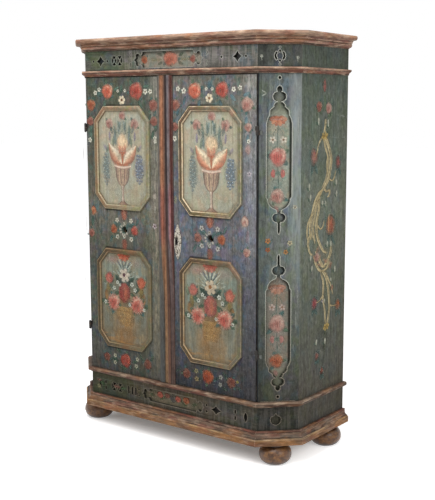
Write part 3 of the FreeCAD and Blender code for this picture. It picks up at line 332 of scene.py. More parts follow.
def fretwork_finish(name, upright):
    """Thin pierced boards: blue-green paint, a pale worn line around every cut, cut walls blackened as
    painted shade and painted shade in the hollows beside them. On the canted boards the side by the door is
    darker and black along the door's gap as painted shade, and the other is paler in its upper part, partly
    as painted light from above, with rubbed patches."""
    f = Finish(name)
    painted, streak, scratch = green_ground(f, upright, CANT_STEPS if upright else BEAM_STEPS)
    across = f.across_cant()
    out = abs(f.nx) * CANT_OUT[0] + f.ny * CANT_OUT[1] if upright else f.ny * -1
    wear = f.patch(12, 0.46, 0.6, (1, 1, 10), detail=6, seed=7)
    if upright:
        high = f.rise(f.z, 560, 1150) * f.rise(f.z, 1660, 1630)
        colour = f.tint(painted, ((0.6, 0.62, 0.62), f.rise(across, 62, 24) * 0.75),
            ((1.16, 1.12, 1.1), f.rise(across, 118, 160) * high))
        colour = f.coats(colour, ("929998", f.rise(across, 120, 142) * high * (0.3 + 0.3 * wear)),
            ("a8b0b0", f.rise(across, 178, 182) * high * 0.6), ("8d9290", wear * high * 0.15),
            # painted shade: black along the gap beside the door
            ("15161a", f.rise(across, 7.5, 5) * f.rise(f.z, 1634, 1630) * f.rise(f.z, 272, 280) * 0.92))
    else:
        low = f.rise(f.z, 900, 600)
        left = f.rise(f.x, -180, -330)
        colour = f.tint(painted, ((0.72, 0.78, 0.74), left * 0.7), (MOSS_GLAZE, left * 0.6),
            (RUST_GLAZE, low * f.rise(abs(f.x - 18), 330, 200) * 0.5))
        colour = f.tint(colour, ((0.56, 0.6, 0.66), low * f.rise(abs(f.x), ARRIS_X - 4, ARRIS_X + 4)))
        colour = f.coats(colour, ("a39a94", wear * (1 - left) * (0.3 - 0.2 * low)))
    # the pale line: edges of the cuts, not the board's own ends and mitres
    rim = f.arris(7, 0.996, 0.95)
    inside = f.band(across, 90, 74, 4) if upright else f.highest(f.band(f.x, 0, 470, 4),
        f.band(across, 87, 62, 4))
    ends = f.highest(f.band(f.z, FRIEZE_Z, 39, 3), f.band(f.z, PLINTH_Z, 44, 3))
    if upright:
        ends = f.highest(ends, f.band(f.z, 954, 676, 4))
    broken = f.patch(12, 0.22, 0.44, detail=6, seed=21)
    line = rim * inside * ends * broken
    dull = f.rise(f.z, 760, 300)
    faint = 0.95 if upright else 0.62 - 0.3 * f.rise(f.x, 0, -260)
    colour = f.coats(colour, (f.over(paint("b9b9ad"), paint("94897a"), dull), line * faint),
                     ("8f8a78", f.arris(2) * f.patch(16, 0.5, 0.62, seed=23) * 0.5),
                     # painted shade: the cut walls black, and dark in the hollows beside them
                     ("1d1e19", f.rise(out, 0.8, 0.45) * (0.95 if upright else 0.7)),
                     ("24251f", f.rise(f.recess(14), 0.15, 0.6) * (1 - line) * 0.7))
    return f.finish(colour, 0.64 + 0.16 * streak - 0.1 * line, streak * 0.45 - scratch * 0.5 + line * 0.5,
        0.35)


def field_depth(f, centre_x, centre_z):
    """Millimetres inside the outer edge of an octagonal field, the least over its eight sides."""
    (half_x, half_z), (cut_x, cut_z) = FIELD_HALF, FIELD_CUT
    in_x = half_x - abs(f.x - centre_x)
    in_z = half_z - abs(f.z - centre_z)
    size = math.hypot(cut_x, cut_z)
    corner = in_x * (cut_z / size) + in_z * (cut_x / size) - cut_x * cut_z / size
    return f.lowest(f.lowest(in_x, in_z), corner)


def door_finish(name, field_x, tones):
    """A door's front: slate ground with blue, green, violet and worn streaks, and two pale octagonal
    panels; its edges are painted too and its back is bare wood."""
    f = Finish(name)
    streak = f.patch(6, 0.42, 0.62, along("z", 22), detail=6)
    fine = f.patch(2, 0.58, 0.7, along("z", 34), detail=4, seed=2)
    scuff = f.patch(2.4, 0.62, 0.72, (24, 1, 1), detail=3, seed=14)
    wear = f.patch(8, 0.46, 0.6, along("z", 13), detail=6, seed=5)
    ground = f.tint(f.by_height(tones["ground"]), ((1, 1, tones["cool"]), 1),
                    (BLUE, f.patch(42, 0.5, 0.62, (1, 1, 1.2), seed=11) * tones["blue"]),
                    (TEAL, f.patch(30, 0.54, 0.64, seed=21) * 0.7),
                    (MOSS_GLAZE, f.patch(60, 0.48, 0.62, (1, 1, 1.5), seed=4) * tones["moss"]),
                    (VIOLET, f.patch(46, 0.5, 0.62, (1, 1, 1.6), seed=17) * 0.9),
                    (RUST_GLAZE, f.patch(36, 0.58, 0.68, seed=27) * 0.5),
                    ((0.72, 0.72, 0.72), streak * 0.75))
    ground = f.coats(ground, (f.by_height(tones["worn"]),
        f.rise(f.x, *tones["worn_from"]) * (0.35 + 0.65 * wear)), ("8e8b86", fine * 0.3),
        ("99968e", scuff * 0.3))
    ground = f.mottle(f.mottle(ground, 15, 2.4, (1, 1, 1.6), 3), 4, 2, (1, 1, 2.2), 6)
    upper = field_depth(f, field_x, UPPER_Z)
    lower = field_depth(f, field_x, LOWER_Z)
    # upper panel: pale olive grey, cooler round the goblet, streaked, pinkish near its edge
    cool = f.patch(48, 0.42, 0.6, (1, 1, 1.6), seed=31)
    moss = f.patch(15, 0.5, 0.64, along("z", 6), seed=33)
    upper_paint = f.coats(paint(tones["upper"]), ("9aa49c", cool * 0.5), ("939b78", moss * 0.4),
        ("b79d86", f.patch(36, 0.52, 0.64, seed=35) * 0.45), ("7d6f54", f.rise(upper, 44, 24) * 0.4),
        ("857f6e", streak * 0.25))
    # lower panel: teal-grey at its sides, brown ochre in its middle and at its foot
    side = f.rise(abs(f.x - field_x) + f.cloud(50) * 60, 50, 130)
    lower_paint = f.over(f.by_height(tones["lower"]), f.by_height(tones["lower_side"]), side)
    lower_paint = f.coats(lower_paint, ("7f8a84", cool * 0.3), ("8d8263", moss * 0.35),
        ("6a5238", f.rise(lower, 48, 24) * 0.4),
        ("a08a66", f.patch(30, 0.5, 0.64, (1, 1, 1.6), seed=37) * 0.35), ("54503f", streak * 0.3),
        ("a87c48", f.rise(f.z, 470, 440) * f.patch(30, 0.5, 0.62, (2, 1, 0.4)) * 0.5))
    panels = f.over(upper_paint, lower_paint, f.rise(f.z, 950, 940))
    panels = f.mottle(f.mottle(panels, 14, 1.1, seed=8), 4, 1.1, (1, 1, 1.6), 9)
    colour = f.over(ground, panels, f.rise(f.highest(upper, lower), 8, 9))
    # painted shadow just outside the octagon frames, strongest on their left; plank joints; rubbed edges;
    # painted shade in the vent hole and along the gaps at the top and at the right door's hinge side
    frame_shadow = f.highest(f.band(upper, -1.5, 2, 5), f.band(lower, -1.5, 2, 5)) * f.rise(f.x - field_x,
        150, -60)
    wander = f.cloud(120, (1, 1, 6)) * 5
    joints = f.highest(f.band(f.x + wander, field_x - 96, 0.5, 0.7),
        f.band(f.x + wander, field_x + 118, 0.5, 0.7))
    edge = f.arris(3) * f.patch(26, 0.4, 0.6, (1, 1, 4), seed=6)
    # painted shade: the vent hole black inside, and black bands along the doors' top edge and along the right
    # door's hinge edge
    hole = f.band(f.z, VENT_Z, 40, 8) * f.rise(f.recess(16), 0.2, 0.7)
    rim = f.rise(f.z, DOOR_TOP - 6, DOOR_TOP - 2)
    colour = f.coats(colour, ("1d1b17", frame_shadow * 0.75), ("34322c", joints * 0.5),
        ("a39681", edge * 0.5), ("0c0a08", hole * 0.95),
        ("1c1a17", f.highest(rim, f.rise(f.x, ARRIS_X - 6.5, ARRIS_X - 4)) * 0.9))
    front = f.rise(f.y, FRONT_Y + 23, FRONT_Y + 17) * f.rise(f.ny, 0.6, 0.3)
    colour = f.over(bare_wood_coats(f, "z")[0], colour, front)
    rough = 0.58 + 0.2 * streak - 0.12 * edge
    height = streak * 0.5 + fine * -0.4 - joints * 1.6 + cool * 0.2
    return f.finish(colour, rough, height, 0.35)


def border_finish(name, field_x, centre_z, tone, edge, cream, hollow, black, blush, lines):
    """The mouldings round one field, from outside: a dark line, a thin cream one, a dark groove, a rubbed
    ochre flat, a second groove and a cream lip. The dark line is painted shadow, the grooves darken as
    painted shade and the cream lines are partly painted highlight, all strongest on the left flank; the side
    away from the light is nearly lost. Black is how deep the painted shade in the groove of the left flank
    is, and lines how fresh the cream ones are."""
    f = Finish(name)
    depth = field_depth(f, field_x, centre_z)
    left = f.rise(f.x - field_x, 60, -120)
    right = f.rise(f.x - field_x, 60, 150)
    flank = f.rise(abs(f.x - field_x), 150, 166) * left
    broken = f.patch(24, 0.38, 0.58, detail=7, seed=1)
    worn = f.patch(46, 0.42, 0.58, detail=4, seed=8)
    grain = f.patch(2.2, 0.5, 0.68, (9, 1, 9), detail=3, seed=2)
    flat = f.over(paint(tone), paint(edge), f.highest(right, worn * 0.7))
    flat = f.tint(flat, (RUST_GLAZE, f.patch(34, 0.5, 0.62, seed=14) * 0.7),
        (MOSS_GLAZE, f.patch(40, 0.5, 0.62, seed=19)))
    flat = f.coats(flat, (blush, f.patch(30, 0.5, 0.6, seed=23) * f.rise(f.z - centre_z, 100, 210) * 0.6))
    # painted shadow, shade and highlight: the outer dark line, the grooves and the cream lines grow stronger
    # towards the left flank
    colour = f.coats(flat,
        (cream, f.band(depth, 4, 1.1, 1.3) * (0.12 + 0.3 * broken + 0.45 * left * broken) * lines),
        (hollow, f.band(depth, 8.4, 1.2, 1.6) * (0.12 + 0.68 * left)),
        (hollow, f.band(depth, 14.6, 1.6, 1.8) * (0.12 + 0.7 * left)),
        (cream, f.band(depth, 19.2, 1.3, 1.5) * (0.25 * broken + 0.6 * left) * lines),
        ("3d2f20", f.rise(depth, 22, 24) * (0.2 + 0.6 * left)),
        ("2a241c", f.rise(depth, 2.6, 1) * (0.2 + 0.65 * left)),
        ("1c1712", f.band(depth, 9.5, 2.2, 1.6) * flank * black), ("6f5638", grain * 0.3),
        ("dcc9a6", f.arris(1.8) * broken * 0.25 * lines))
    colour = f.mottle(colour, 9, 1.8, seed=5)
    return f.finish(colour, 0.5 + 0.18 * broken, grain * -0.5 + broken * 0.3, 0.3, sheen=0.15)


def marbled_finish(name, bands, axis="x", dim=1, pale=0.55):
    """Mouldings once marbled in red and ochre, now mostly rubbed: each band is a height, half its
    breadth and a colour; cream patches sit on the arrises and painted shade in the hollows. Dim scales the
    whole colour: the lower mouldings get less, partly painted shade of the light that falls off towards the
    floor."""
    f = Finish(name)
    smear = f.patch(30, 0.42, 0.62, (3, 3, 0.6), detail=7, twist=0.8, seed=1)
    ochre = f.patch(44, 0.5, 0.62, (2.4, 2.4, 0.7), detail=6, seed=7)
    red = f.patch(40, 0.46, 0.62, (2.6, 2.6, 0.7), detail=6, seed=13)
    cream = f.patch(20, 0.52, 0.64, (3.2, 3.2, 0.6), detail=7, seed=19)
    grey = f.patch(50, 0.54, 0.66, (2.2, 2.2, 0.8), detail=5, seed=23)
    grain = f.patch(2, 0.5, 0.66, (38, 38, 1), detail=4, seed=3)
    thread = f.patch(3, 0.56, 0.66, (44, 44, 0.8), detail=4, seed=33)
    colour = paint(bands[0][2])
    for height, half, code in bands[1:]:
        colour = f.over(colour, paint(code), f.band(f.z, height, half, 1.4))
    colour = f.coats(colour, ("8c5040", red * 0.55), ("a87444", ochre * 0.4), ("574238", smear * 0.5),
        ("6f6a60", grey * 0.4), ("cbb29a", cream * pale), ("3a2a22", grain * 0.5), ("c9a890", thread * 0.4))
    rub = f.arris(2.4, 0.99, 0.8) * f.patch(18, 0.36, 0.58, (2, 2, 1), seed=29)
    # rubbed cream on the arrises, and painted shade in the hollows
    colour = f.coats(colour, ("c8ad98", rub * 0.7), ("17120e", f.rise(f.recess(18), 0.12, 0.6) * 0.85))
    # dim: the lower mouldings darker, partly painted shade
    colour = f.tint(f.mottle(colour, 12, 2.2, (2.4, 2.4, 0.7), 9), ((dim, dim * 0.98, dim * 0.95), 1))
    colour = f.over(bare_wood_coats(f, axis)[0], colour, f.outward(-40, -10))
    return f.finish(colour, 0.55 + 0.2 * smear, grain * -0.6 + cream * 0.3 + smear * 0.2, 0.4, sheen=0.2)


def strip_finish(name, columns):
    """The strips where the doors meet: upright bands that lean a little, each from its place across
    rightwards, with one colour at the foot and one at the head; they hold painted highlight on the crowns and
    painted shade in the gap between the doors."""
    f = Finish(name)
    rub = f.patch(7, 0.42, 0.62, along("z", 12), detail=6, seed=1)
    grain = f.patch(1.6, 0.5, 0.68, along("z", 50), detail=3, seed=2)
    red = f.patch(60, 0.44, 0.6, (1, 1, 2.4), detail=5, seed=7)
    across = f.x - 7 - 12 * f.rise(f.z, 1000, 600) + f.cloud(60, (1, 1, 5), seed=9) * 3
    head = f.rise(f.z, 320, 1250)
    colour = f.over(paint(columns[0][1]), paint(columns[0][2]), head)
    for place, foot, top in columns[1:]:
        colour = f.over(colour, f.over(paint(foot), paint(top), head),
            f.rise(across, place - 1.6, place + 1.6))
    middle = f.rise(f.z, 860, 950) * f.rise(f.z, 1190, 1120)
    # in the middle of the height: an olive band in the groove, and beside it a pale pink line, a painted
    # highlight
    colour = f.coats(colour, ("4c4230", f.rise(across, 1, 4) * f.rise(across, 14, 10) * middle * 0.6),
                     ("b08a7a", f.rise(across, 13, 16) * f.rise(across, 25, 21) * middle * 0.55))
    colour = f.tint(colour, ((0.92, 0.76, 0.92), middle), ((0.86, 0.74, 0.72), red * 0.6),
        ((0.84, 0.86, 0.86), f.rise(f.z, 1540, 1600)), ((0.78, 0.7, 0.68), rub * 0.4))
    colour = f.coats(colour, ("c8a894", f.arris(2) * rub * 0.35), ("33241e", grain * 0.3))
    colour = f.mottle(colour, 10, 2.4, (1, 1, 2.2), 5)
    colour = f.over(colour, bare_wood_coats(f, "z")[0], f.rise(f.ny, 0.3, 0.7))
    return f.finish(colour, 0.46 + 0.2 * rub, grain * -0.5 + rub * 0.3, 0.3, sheen=0.15)


def foot_finish():
    """Turned feet in a glossy brown stain, rubbed to ochre on the belly, with turning lines, and painted
    shade under the base and where they meet the floor.
    """
    f = Finish("stained_foot")
    rub = f.patch(20, 0.44, 0.62, (1.3, 1.3, 0.8), detail=7, seed=1)
    dark = f.patch(26, 0.5, 0.64, detail=6, seed=6)
    grain = f.patch(2.4, 0.48, 0.68, (12, 2, 1), detail=4, seed=2)
    lines = f.rise(f.maths("PINGPONG", f.z + f.cloud(20) * 1.5, 3.2), 2.5, 3.2)
    # the last two coats are painted shade: at the top under the base, and at the floor
    colour = f.coats(paint("62422a"), ("8e6438", rub * 0.6), ("301f16", dark * 0.65),
        ("4a3020", grain * 0.5), ("34231a", lines * 0.25), ("21160f", f.rise(f.z, 62, 86) * 0.75),
        ("201610", f.rise(f.z, 26, 4) * 0.75))
    colour = f.mottle(colour, 7, 2, seed=4)
    return f.finish(colour, 0.3 + 0.2 * rub, grain * -0.5 - lines * 0.25, 0.35, coat=0.2, sheen=0.3)


def iron_finish():
    """Forged iron: near black, with a brown bloom of rust and hammer marks; the fixed leaves on the canted
    corners are painted over with the green beside them."""
    f = Finish("forged_iron")
    rust = f.patch(14, 0.48, 0.66, detail=6, seed=1)
    blows = f.cloud(9, detail=2, seed=4)
    leaf = f.rise(abs(f.x), ARRIS_X + 8, ARRIS_X + 10) * f.rise(f.y, HINGE_LEAF_Y + 10, HINGE_LEAF_Y)
    colour = f.coats(paint("2b2927"), ("4c3526", rust * 0.6), ("55524e", f.arris(1.2) * 0.5),
                     ("646863", leaf * f.patch(9, 0.34, 0.5, seed=8) * 0.85))
    return f.finish(colour, 0.55 + 0.3 * rust, blows + rust * 0.6, 0.5, metal=0.3 - 0.3 * rust, sheen=0.3)


def key_plate_finish():
    """The keyhole plate: iron once whitened, cream-grey with dark pitting and a rusty rim; its keyhole is
    blackened as painted shade.
    """
    f = Finish("whitened_key_plate")
    pits = f.patch(8, 0.53, 0.6, detail=5, seed=1)
    specks = f.patch(3.6, 0.56, 0.62, detail=3, seed=3)
    stain = f.patch(18, 0.46, 0.62, detail=6, seed=5)
    colour = f.coats(paint("c9c2b4"), ("958a78", stain * 0.6), ("3a3027", pits * 0.85),
        ("2a2119", specks * 0.85), ("33281d", f.arris(2.2) * 0.6),
        # painted shade: the keyhole black
        ("0c0a08", f.band(f.z, KEYHOLE_Z, 15, 4) * f.band(f.x, KEYHOLE_X, 7, 2) * 0.95))
    return f.finish(colour, 0.5 + 0.2 * stain, stain * 0.4 - pits - specks, 0.5, metal=0.1, sheen=0.3)


def plain_wood_finish(name, axis):
    """Unpainted inside and back: planed softwood with grain, pores, knots and old dirt, and painted shade in
    its corners.
    """
    f = Finish(name)
    colour, late, pores = bare_wood_coats(f, axis)
    knots = f.patch(46, 0.72, 0.78, along(axis, 1.8), detail=1, seed=40)
    # knots, rubbed pale edges, and painted shade in the corners
    colour = f.coats(colour, ("3f2918", knots * 0.8), ("8e7658", f.arris(2.5) * 0.4),
        ("3a2d22", f.recess(18) * 0.55))
    return f.finish(colour, 0.68 + 0.1 * late, late * 0.5 - pores * 0.7, 0.4, sheen=0.25)


def brush_finish():
    """Painted dabs: their colour and thickness come with the stroke; old paint, rubbed and chipped."""
    f = Finish("brush_work")
    stroke = f.node("ShaderNodeVertexColor", {"layer_name": "stroke"}, out=None)
    colour, cover = Wire(f, stroke.outputs["Color"]), Wire(f, stroke.outputs["Alpha"])
    hairs = f.cloud(3.4, (1, 1, 3), detail=6, rough=0.65, seed=2)
    chips = f.patch(10, 0.32, 0.48, (1, 1, 1.6), detail=7, seed=5)
    # greyed in patches, and darker towards the bottom, partly painted shade of the light that falls off
    # towards the floor
    aged = f.coats(colour, ("6e6a5e", f.patch(26, 0.48, 0.66, seed=9) * 0.3),
        ("4b4238", f.rise(f.z, 620, 180) * 0.2))
    aged = f.mottle(f.mottle(aged, 11, 1.8, seed=12), 4, 1.2, (1, 1, 1.8), 14)
    cover = f.lowest(cover * (0.6 + 0.45 * chips) * (0.78 + 0.5 * hairs), 1)
    return f.finish(aged, 0.55 + 0.2 * hairs, hairs, 0.25, alpha=cover, sheen=0.12)


GREEN_UP = carcass_finish()
GROUND = window_ground_finish()
FRET_UP = fretwork_finish("fretwork_green_upright", True)
FRET_ALONG = fretwork_finish("fretwork_green_along", False)
# door colours by height: the ground steps grow darker towards the foot, partly painted shade of the light
# that falls off towards the floor
LEFT_TONES = {
    "ground": [(280, "474540"), (430, "52524c"), (620, "5f6058"), (840, "56554c"), (1040, "706c62"),
        (1250, "5b5a50"), (1480, "56584e"), (1620, "52554b")],
    "worn": [(280, "565248"), (600, "827b68"), (1000, "827a6c"), (1300, "8d887c"), (1620, "827f76")],
    "lower": [(400, "7b6143"), (470, "8c6c48"), (600, "8d7350"), (720, "7f7a66"), (850, "8a8770")],
    "lower_side": [(400, "6e614c"), (500, "726d5c"), (700, "748078"), (850, "8a8f7e")],
    "worn_from": (-112, -72), "cool": 0.97, "blue": 0.9, "moss": 0.5, "upper": "aaa48e"}
RIGHT_TONES = {
    "ground": [(280, "363438"), (430, "4c4a4e"), (620, "585960"), (840, "65666e"), (1060, "706c72"),
        (1250, "6c6d70"), (1480, "6b6a68"), (1620, "6c6963")],
    "worn": [(280, "3e3d40"), (600, "4a4a4d"), (820, "606166"), (1000, "7e8086"), (1250, "86868a"),
        (1620, "918e88")],
    "lower": [(400, "836a4a"), (470, "90714a"), (600, "94704a"), (720, "837c64"), (850, "8d8a74")],
    "lower_side": [(400, "7a7260"), (520, "7f7f70"), (700, "7c8a80"), (850, "8f9484")],
    "worn_from": (402, 436), "cool": 0.92, "blue": 0.9, "moss": 0.4, "upper": "aba58f"}
LEFT_DOOR = door_finish("left_door_slate", LEFT_FIELD_X, LEFT_TONES)
RIGHT_DOOR = door_finish("right_door_slate", RIGHT_FIELD_X, RIGHT_TONES)
BORDERS = {}
for place, *tones in (
        ("left_upper", "8a8068", "878671", "bcab92", "7c5c42", 0.35, "b08a74", 0.75),
        ("left_lower", "6a5a44", "6a6652", "a08a6c", "33281d", 0.6, "8c6448", 0.7),
        ("right_upper", "84735c", "7a7868", "d8c4a4", "33271b", 0.95, "a8806c", 1),
        ("right_lower", "6e5c46", "6a675a", "c0a682", "33271b", 0.8, "94705c", 0.8)):
    side, level = place.split("_")
    x = LEFT_FIELD_X if side == "left" else RIGHT_FIELD_X
    z = UPPER_Z if level == "upper" else LOWER_Z
    BORDERS["%s_door_%s_moulding" % (side, level)] = border_finish(place + "_border", x, z, *tones)
CORNICE = marbled_finish("cornice_marbling",
    [(0, 0, "947466"), (1751, 4, "54453b"), (1759, 4, "a07c6e"), (1765, 1.6, "5c443a"),
    (1770, 2.6, "c8a894"), (1776, 2, "6c5046"), (1790, 9, "a88a76")], dim=1.06)
UPPER = marbled_finish("upper_moulding_marbling",
    [(0, 0, "7c5c50"), (1636.5, 3, "231b17"), (1641, 2, "4c3830"), (1646, 3.6, "8a6052"),
    (1650.5, 1.4, "3f2d26"), (1655, 3.4, "b08e7a")])
WAIST = marbled_finish("waist_moulding_marbling",
    [(0, 0, "5c4a42"), (255, 3.5, "2c211d"), (263, 4, "644a40"), (267, 1.4, "33261f"), (272, 3, "8f7a68")],
    dim=0.72)
BASE = marbled_finish("base_moulding_marbling",
    [(0, 0, "6a5646"), (102, 14, "9a7048"), (117.5, 1.8, "b8996f"), (123, 2, "33281f"),
    (129, 4.4, "64564a"), (137, 4, "857060"), (146, 4, "5c4036")], dim=0.82, pale=0.3)
# bands of the strips as they look: the bright band at -30 and the violet-grey one at 8.5 are partly painted
# highlight on the crowns of the bead and the cover strip, and the dark ones at -11 and 4.5 painted shade in
# the gap between the doors
MEETING = strip_finish("meeting_strip_red",
    [(0, "4b4d4b", "68665f"), (-36, "70604a", "8a6650"), (-30, "86684c", "ac7a5c"),
    (-19.5, "8c7050", "6e5446"), (-11, "64483a", "1c1618"), (4.5, "342824", "3e3638"),
    (8.5, "54443e", "706a6c"), (18, "5c4a42", "6a5654"), (22, "4a3630", "4e2c26"),
    (30, "463430", "5e4640")])
FEET = foot_finish()
IRON = iron_finish()
PLATE = key_plate_finish()
WOOD = {axis: plain_wood_finish("bare_wood_" + axis, axis) for axis in "xyz"}
BRUSH = brush_finish()
FINISHES = [*BORDERS.items(), ("foot_", FEET), ("escutcheon", PLATE), ("hinge", IRON), ("lock_", IRON),
    ("bolt", IRON), ("left_door_leaf", LEFT_DOOR), ("right_door_leaf", RIGHT_DOOR), ("bead", MEETING),
    ("cover_strip", MEETING), ("cornice", CORNICE), ("upper_moulding", UPPER), ("waist_moulding", WAIST),
    ("base_moulding", BASE), ("cant_fretwork", FRET_UP), ("fretwork", FRET_ALONG), ("side", GREEN_UP),
    ("plinth_left", GREEN_UP), ("plinth_right", GREEN_UP), ("cant_board", GROUND), ("frieze_front", GROUND),
    ("plinth_front", GROUND), ("back_planks", WOOD["z"]), ("top_board", WOOD["y"]),
    ("floor_board", WOOD["y"]), ("shelf_cleats", WOOD["y"])]


# each named solid takes the first finish whose word its name holds, or else wood with the grain along x
for name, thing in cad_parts.items():
    thing.data.materials.clear()
    thing.data.materials.append(next((finish for word, finish in FINISHES if word in name), WOOD["x"]))


# ---- brush work ------------------------------------------------------------------------------
LIFT, LAYER = 0.18, 0.09    # how far the first stroke and each level over it stand off the wood
DAB_ROWS, DAB_COLUMNS = 8, 7


class Face:
    """A flat face that is painted on: a starting point, the way along it and its outward normal."""

    def __init__(self, start, way):
        self.start = np.array([start[0], start[1], 0])
        self.way = np.array([way[0], way[1], 0])
        self.out = np.array([way[1], -way[0], 0])

    def place(self, u, v, lift):
        """Point at u along, v up and lift out of the face, for whole arrays."""
        return (self.start + u[..., None] * self.way + v[..., None] * np.array([0, 0, 1])
                + lift[..., None] * self.out) * MM


def put(name, mesh, material):
    """Adds a piece with that mesh and material to the scene."""
    mesh.materials.append(material)
    piece = bpy.data.objects.new(name, mesh)
    bpy.context.scene.collection.objects.link(piece)
    return piece


def turned(angle):
    """Cosine and sine of an angle in degrees."""
    return math.cos(math.radians(angle)), math.sin(math.radians(angle))


def smooth_line(points, rows):
    """A smooth curve through the points: each coordinate is a cubic between neighbours, with their mean
    slope at each point. Gives the points and the unit way along them."""
    p = np.array(points, float)
    k = np.linspace(0, len(p) - 1, rows)
    i = np.clip(k.astype(int), 0, len(p) - 2)
    f = (k - i)[:, None]
    slope = np.gradient(p, axis=0)
    line = (p[i] * (2 * f ** 3 - 3 * f ** 2 + 1) + slope[i] * (f ** 3 - 2 * f ** 2 + f)
            + p[i + 1] * (3 * f ** 2 - 2 * f ** 3) + slope[i + 1] * (f ** 3 - f ** 2))
    way = np.gradient(line, axis=0)
    return line, way / np.maximum(np.linalg.norm(way, axis=1, keepdims=True), 1e-9)


def blend_tones(codes, at):
    """Colours between the given ones, spread evenly from 0 to 1, for an array of places."""
    stops = np.array([paint(c)[:3] for c in codes])
    return np.stack([np.interp(at, np.linspace(0, 1, len(stops)), stops[:, k]) for k in range(3)], -1)


class Painting:
    """Strokes gathered for one piece: each is a grid of points with a colour and a cover."""

    def __init__(self, face, seed):
        self.face = face
        self.dice = np.random.default_rng(seed)
        self.dabs = []
        self.grids = []

    def dab(self, u, v, length, half, angle, root, tip=None, level=0, cover=0.95, soft=0.55, bend=0,
            belly=0.5, point=1):
        """Notes one dab: its root, length, half width and angle, the colours of its root and tip, its level,
        cover and the softness of its sides, its bend in degrees, where it is widest and how pointed it is."""
        self.dabs.append((u, v, length, half, math.radians(angle), math.radians(bend), belly, point,
                          LIFT + LAYER * level, cover) + paint(root)[:3] + paint(tip or root)[:3] + (soft,))

    def grid(self, u, v, level, colour, cover):
        """Notes a grid of points; its columns are turned round where it would face inwards."""
        cover = np.broadcast_to(cover, u.shape)
        run = ((u[1:, :-1] - u[:-1, :-1]) * (v[:-1, 1:] - v[:-1, :-1])
               - (v[1:, :-1] - v[:-1, :-1]) * (u[:-1, 1:] - u[:-1, :-1]))
        if run.sum() < 0:
            u, v, colour, cover = u[:, ::-1], v[:, ::-1], colour[:, ::-1], cover[:, ::-1]
        self.grids.append((u, v, np.full(u.shape, LIFT + LAYER * level), colour, cover))

    def lay_dabs(self):
        """All dabs at once. Along s from 0 to 1 the middle line turns evenly by the bend; across t
        from -1 to 1 the half width is s**(p*b) * (1-s)**(p*(1-b)), scaled to 1 where s is b; the cover
        falls towards the sides by the softness times t squared."""
        if not self.dabs:
            return
        d = np.array(self.dabs)[:, :, None]
        u, v, length, half, angle, bend, belly, point, lift, cover = (d[:, i] for i in range(10))
        s = np.linspace(0.015, 0.985, DAB_ROWS)[None, :]
        t = np.linspace(-1, 1, DAB_COLUMNS)
        heading = angle + bend * (s - 0.5)
        step = length / (DAB_ROWS - 1)
        walk_u = np.cumsum(np.cos(heading), axis=1) - np.cos(heading[:, :1])
        walk_v = np.cumsum(np.sin(heading), axis=1) - np.sin(heading[:, :1])
        full = belly ** (point * belly) * (1 - belly) ** (point * (1 - belly))
        wide = half * s ** (point * belly) * (1 - s) ** (point * (1 - belly)) / full
        across_u, across_v = -np.sin(heading), np.cos(heading)
        at_u = (u + walk_u * step)[:, :, None] + (wide * across_u)[:, :, None] * t
        at_v = (v + walk_v * step)[:, :, None] + (wide * across_v)[:, :, None] * t
        root, tip = d[:, 10:13, 0][:, None, None, :], d[:, 13:16, 0][:, None, None, :]
        colour = root + (tip - root) * s[0][None, :, None, None]
        colour = colour * (1 + 0.14 * t)[None, None, :, None]
        soft = d[:, 16]
        ends = 1 - soft * np.abs(2 * s - 1) ** 3 * 0.6
        fade = (1 - soft[:, :, None] * np.abs(t) ** 2.2) * (cover * ends)[:, :, None]
        shape = at_u.shape
        for i in range(shape[0]):
            self.grids.append((at_u[i], at_v[i], np.full(shape[1:], lift[i, 0]),
                               np.broadcast_to(colour[i], shape[1:] + (3,)), fade[i]))
        self.dabs = []

    def finish(self, name, body, slot):
        """Joins the grids into one mesh of quads with a colour attribute."""
        self.lay_dabs()
        points, faces, colours, first = [], [], [], 0
        for u, v, lift, colour, cover in self.grids:
            rows, columns = u.shape
            index = first + np.arange(rows * columns).reshape(rows, columns)
            quads = np.stack([index[:-1, :-1], index[1:, :-1], index[1:, 1:], index[:-1, 1:]], -1)
            points.append(self.face.place(u, v, lift).reshape(-1, 3))
            faces.append(quads.reshape(-1, 4))
            colours.append(np.concatenate([colour, cover[..., None]], -1).reshape(-1, 4))
            first += rows * columns
        points, faces, colours = np.concatenate(points), np.concatenate(faces), np.concatenate(colours)
        mesh = bpy.data.meshes.new(name)
        mesh.vertices.add(len(points))
        mesh.vertices.foreach_set("co", points.astype(np.float32).ravel())
        mesh.loops.add(faces.size)
        mesh.loops.foreach_set("vertex_index", faces.astype(np.int32).ravel())
        mesh.polygons.add(len(faces))
        mesh.polygons.foreach_set("loop_start", np.arange(0, faces.size, 4, dtype=np.int32))
        mesh.update(calc_edges=True)
        stroke = mesh.color_attributes.new("stroke", "FLOAT_COLOR", "POINT")
        stroke.data.foreach_set("color", np.clip(colours, 0, 1).astype(np.float32).ravel())
        piece = put(name, mesh, BRUSH)
        piece.visible_shadow = False
        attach(piece, body)

    # -- strokes ---------------------------------------------------------------------------
    def line(self, points, half, colour, end=None, end_half=None, level=1, cover=0.9, rows=26, soft=0.4):
        """A long stroke: a smooth curve through the points, with a breadth that tapers along it."""
        c, way = smooth_line(points, rows)
        s = np.linspace(0, 1, rows)
        wide = half + ((end_half if end_half is not None else half) - half) * s
        wide = wide * np.minimum(1, 0.25 + 9 * np.minimum(s, 1 - s)) * (1 + 0.18 * np.sin(s * 23 + c[0, 0]))
        t = np.linspace(-1, 1, 5)
        u = c[:, :1] - way[:, 1:] * wide[:, None] * t
        v = c[:, 1:] + way[:, :1] * wide[:, None] * t
        shade = blend_tones([colour, end or colour], s)[:, None, :] * (1 + 0.14 * t)[None, :, None]
        self.grid(u, v, level, shade, cover * (1 - soft * t[None, :] ** 2))

